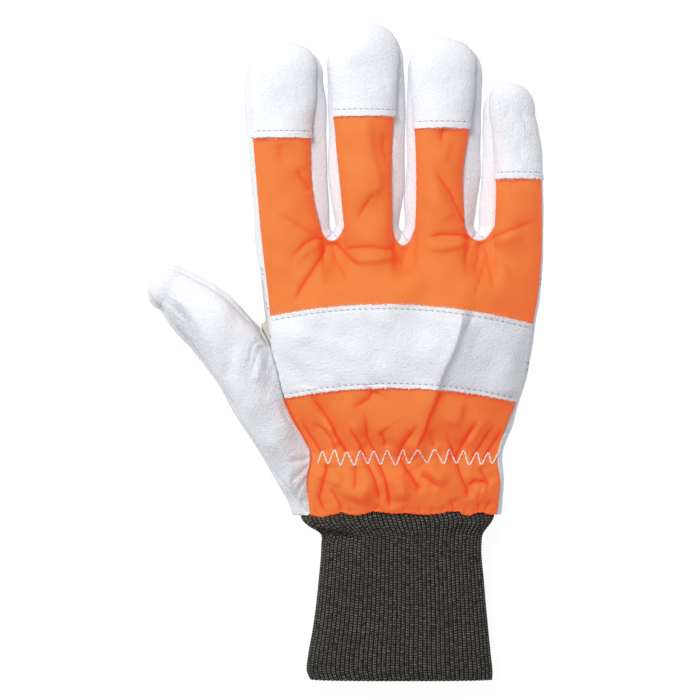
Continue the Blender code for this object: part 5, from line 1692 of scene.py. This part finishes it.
def set_up_view():
    """Camera straight above, a white floor, a large soft key from the upper left and white surroundings."""
    scene = bpy.context.scene
    camera = bpy.data.cameras.new("camera")
    camera.sensor_width = CAMERA_SENSOR
    camera.lens = CAMERA_SENSOR * (CAMERA_HEIGHT - 12.0) / (VIEW_PX * MM_PER_PX)
    made = bpy.data.objects.new("camera", camera)
    middle = from_px((VIEW_PX / 2, VIEW_PX / 2))
    made.location = (middle[0] * MM, middle[1] * MM, CAMERA_HEIGHT * MM)
    scene.collection.objects.link(made)
    scene.camera = made

    bpy.ops.mesh.primitive_plane_add(size=6.0, location=(0, 0, 0))
    floor = bpy.context.object
    floor.name = "floor"
    floor.data.materials.append(floor_material())

    area_light("key", (-0.459, 0.655, 1.024), 0.42, 12.3, (1.0, 0.99, 0.98))
    area_light("fill", (-0.7, 0.1, 1.3), 1.2, 1.2, (0.93, 0.95, 1.0))
    world = bpy.data.worlds.new("studio")
    scene.world = world
    world.use_nodes = True
    background = world.node_tree.nodes["Background"]
    background.inputs["Color"].default_value = (0.96, 0.97, 1.0, 1)
    background.inputs["Strength"].default_value = 0.40
    scene.view_settings.view_transform = "Standard"


def main():
    leather = leather_material()
    cloth = cloth_material()
    knit = knit_material()
    lining = lining_material()
    skin = build_skin()
    relief, rise, distance, crease_shade = skin_relief(skin)
    pieces = {}
    for name in sorted(set(skin.panels)):
        pieces[name] = add_panel(skin, name, relief, rise, distance, crease_shade, leather, cloth, lining)
    pieces["knuckle_strap"] = add_strap(skin, relief, rise, distance, leather)
    pieces["knit_cuff"] = add_cuff(skin, knit)
    for name, piece in pieces.items():
        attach(piece, "root")
        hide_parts(name)

    top = Surface([pieces[name] for name in pieces if name not in ("knit_cuff",)])
    rows = [stitch_row(top, strap_edge(skin, k, STITCH_INSET), STRAP_STITCH_STEP, STRAP_SHADOW_DASH) for k in (0, 1)]
    rows += [stitch_row(top, cap_line(name, CAP_STITCH_INSET), CAP_STITCH_STEP, CAP_SHADOW_DASH) for name in NAMES]
    stitches = to_mesh("edge_stitches", *joined([row[0] for row in rows]),
                       thread_material("white_thread", (0.84, 0.84, 0.86, 1), 0.6))
    tacks = [short_tack(top, from_px(tack)) for tack in TACKS]
    # Painted shadow: dark slanted dashes at the needle holes between stitches, with the loose thread ends in the same
    # grey.
    shadow_dashes = to_mesh("stitch_hole_shadows_and_tacks", *joined([row[1] for row in rows] + tacks),
                        thread_material("grey_hole_shadow_and_tack_thread", (0.24, 0.24, 0.27, 1), 0.8))
    thread = to_mesh("elastic_zigzag", *zigzag(top), thread_material("pale_thread", (0.95, 0.90, 0.88, 1), 0.6))
    hairs = [fibres(strap_edge(skin, 0, 0.0), -1, 71, top), fibres(strap_edge(skin, 1, 0.0), 1, 72, top)]
    hairs += [fibres(cap_line(name, 0.0), -1, 73 + i, top) for i, name in enumerate(NAMES)]
    fuzz = to_mesh("cut_edge_fibres", *joined(hairs), thread_material("leather_fibre", (0.92, 0.82, 0.80, 1), 0.9))
    for piece in (stitches, shadow_dashes, thread, fuzz):
        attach(piece, "root")

    set_up_view()


main()
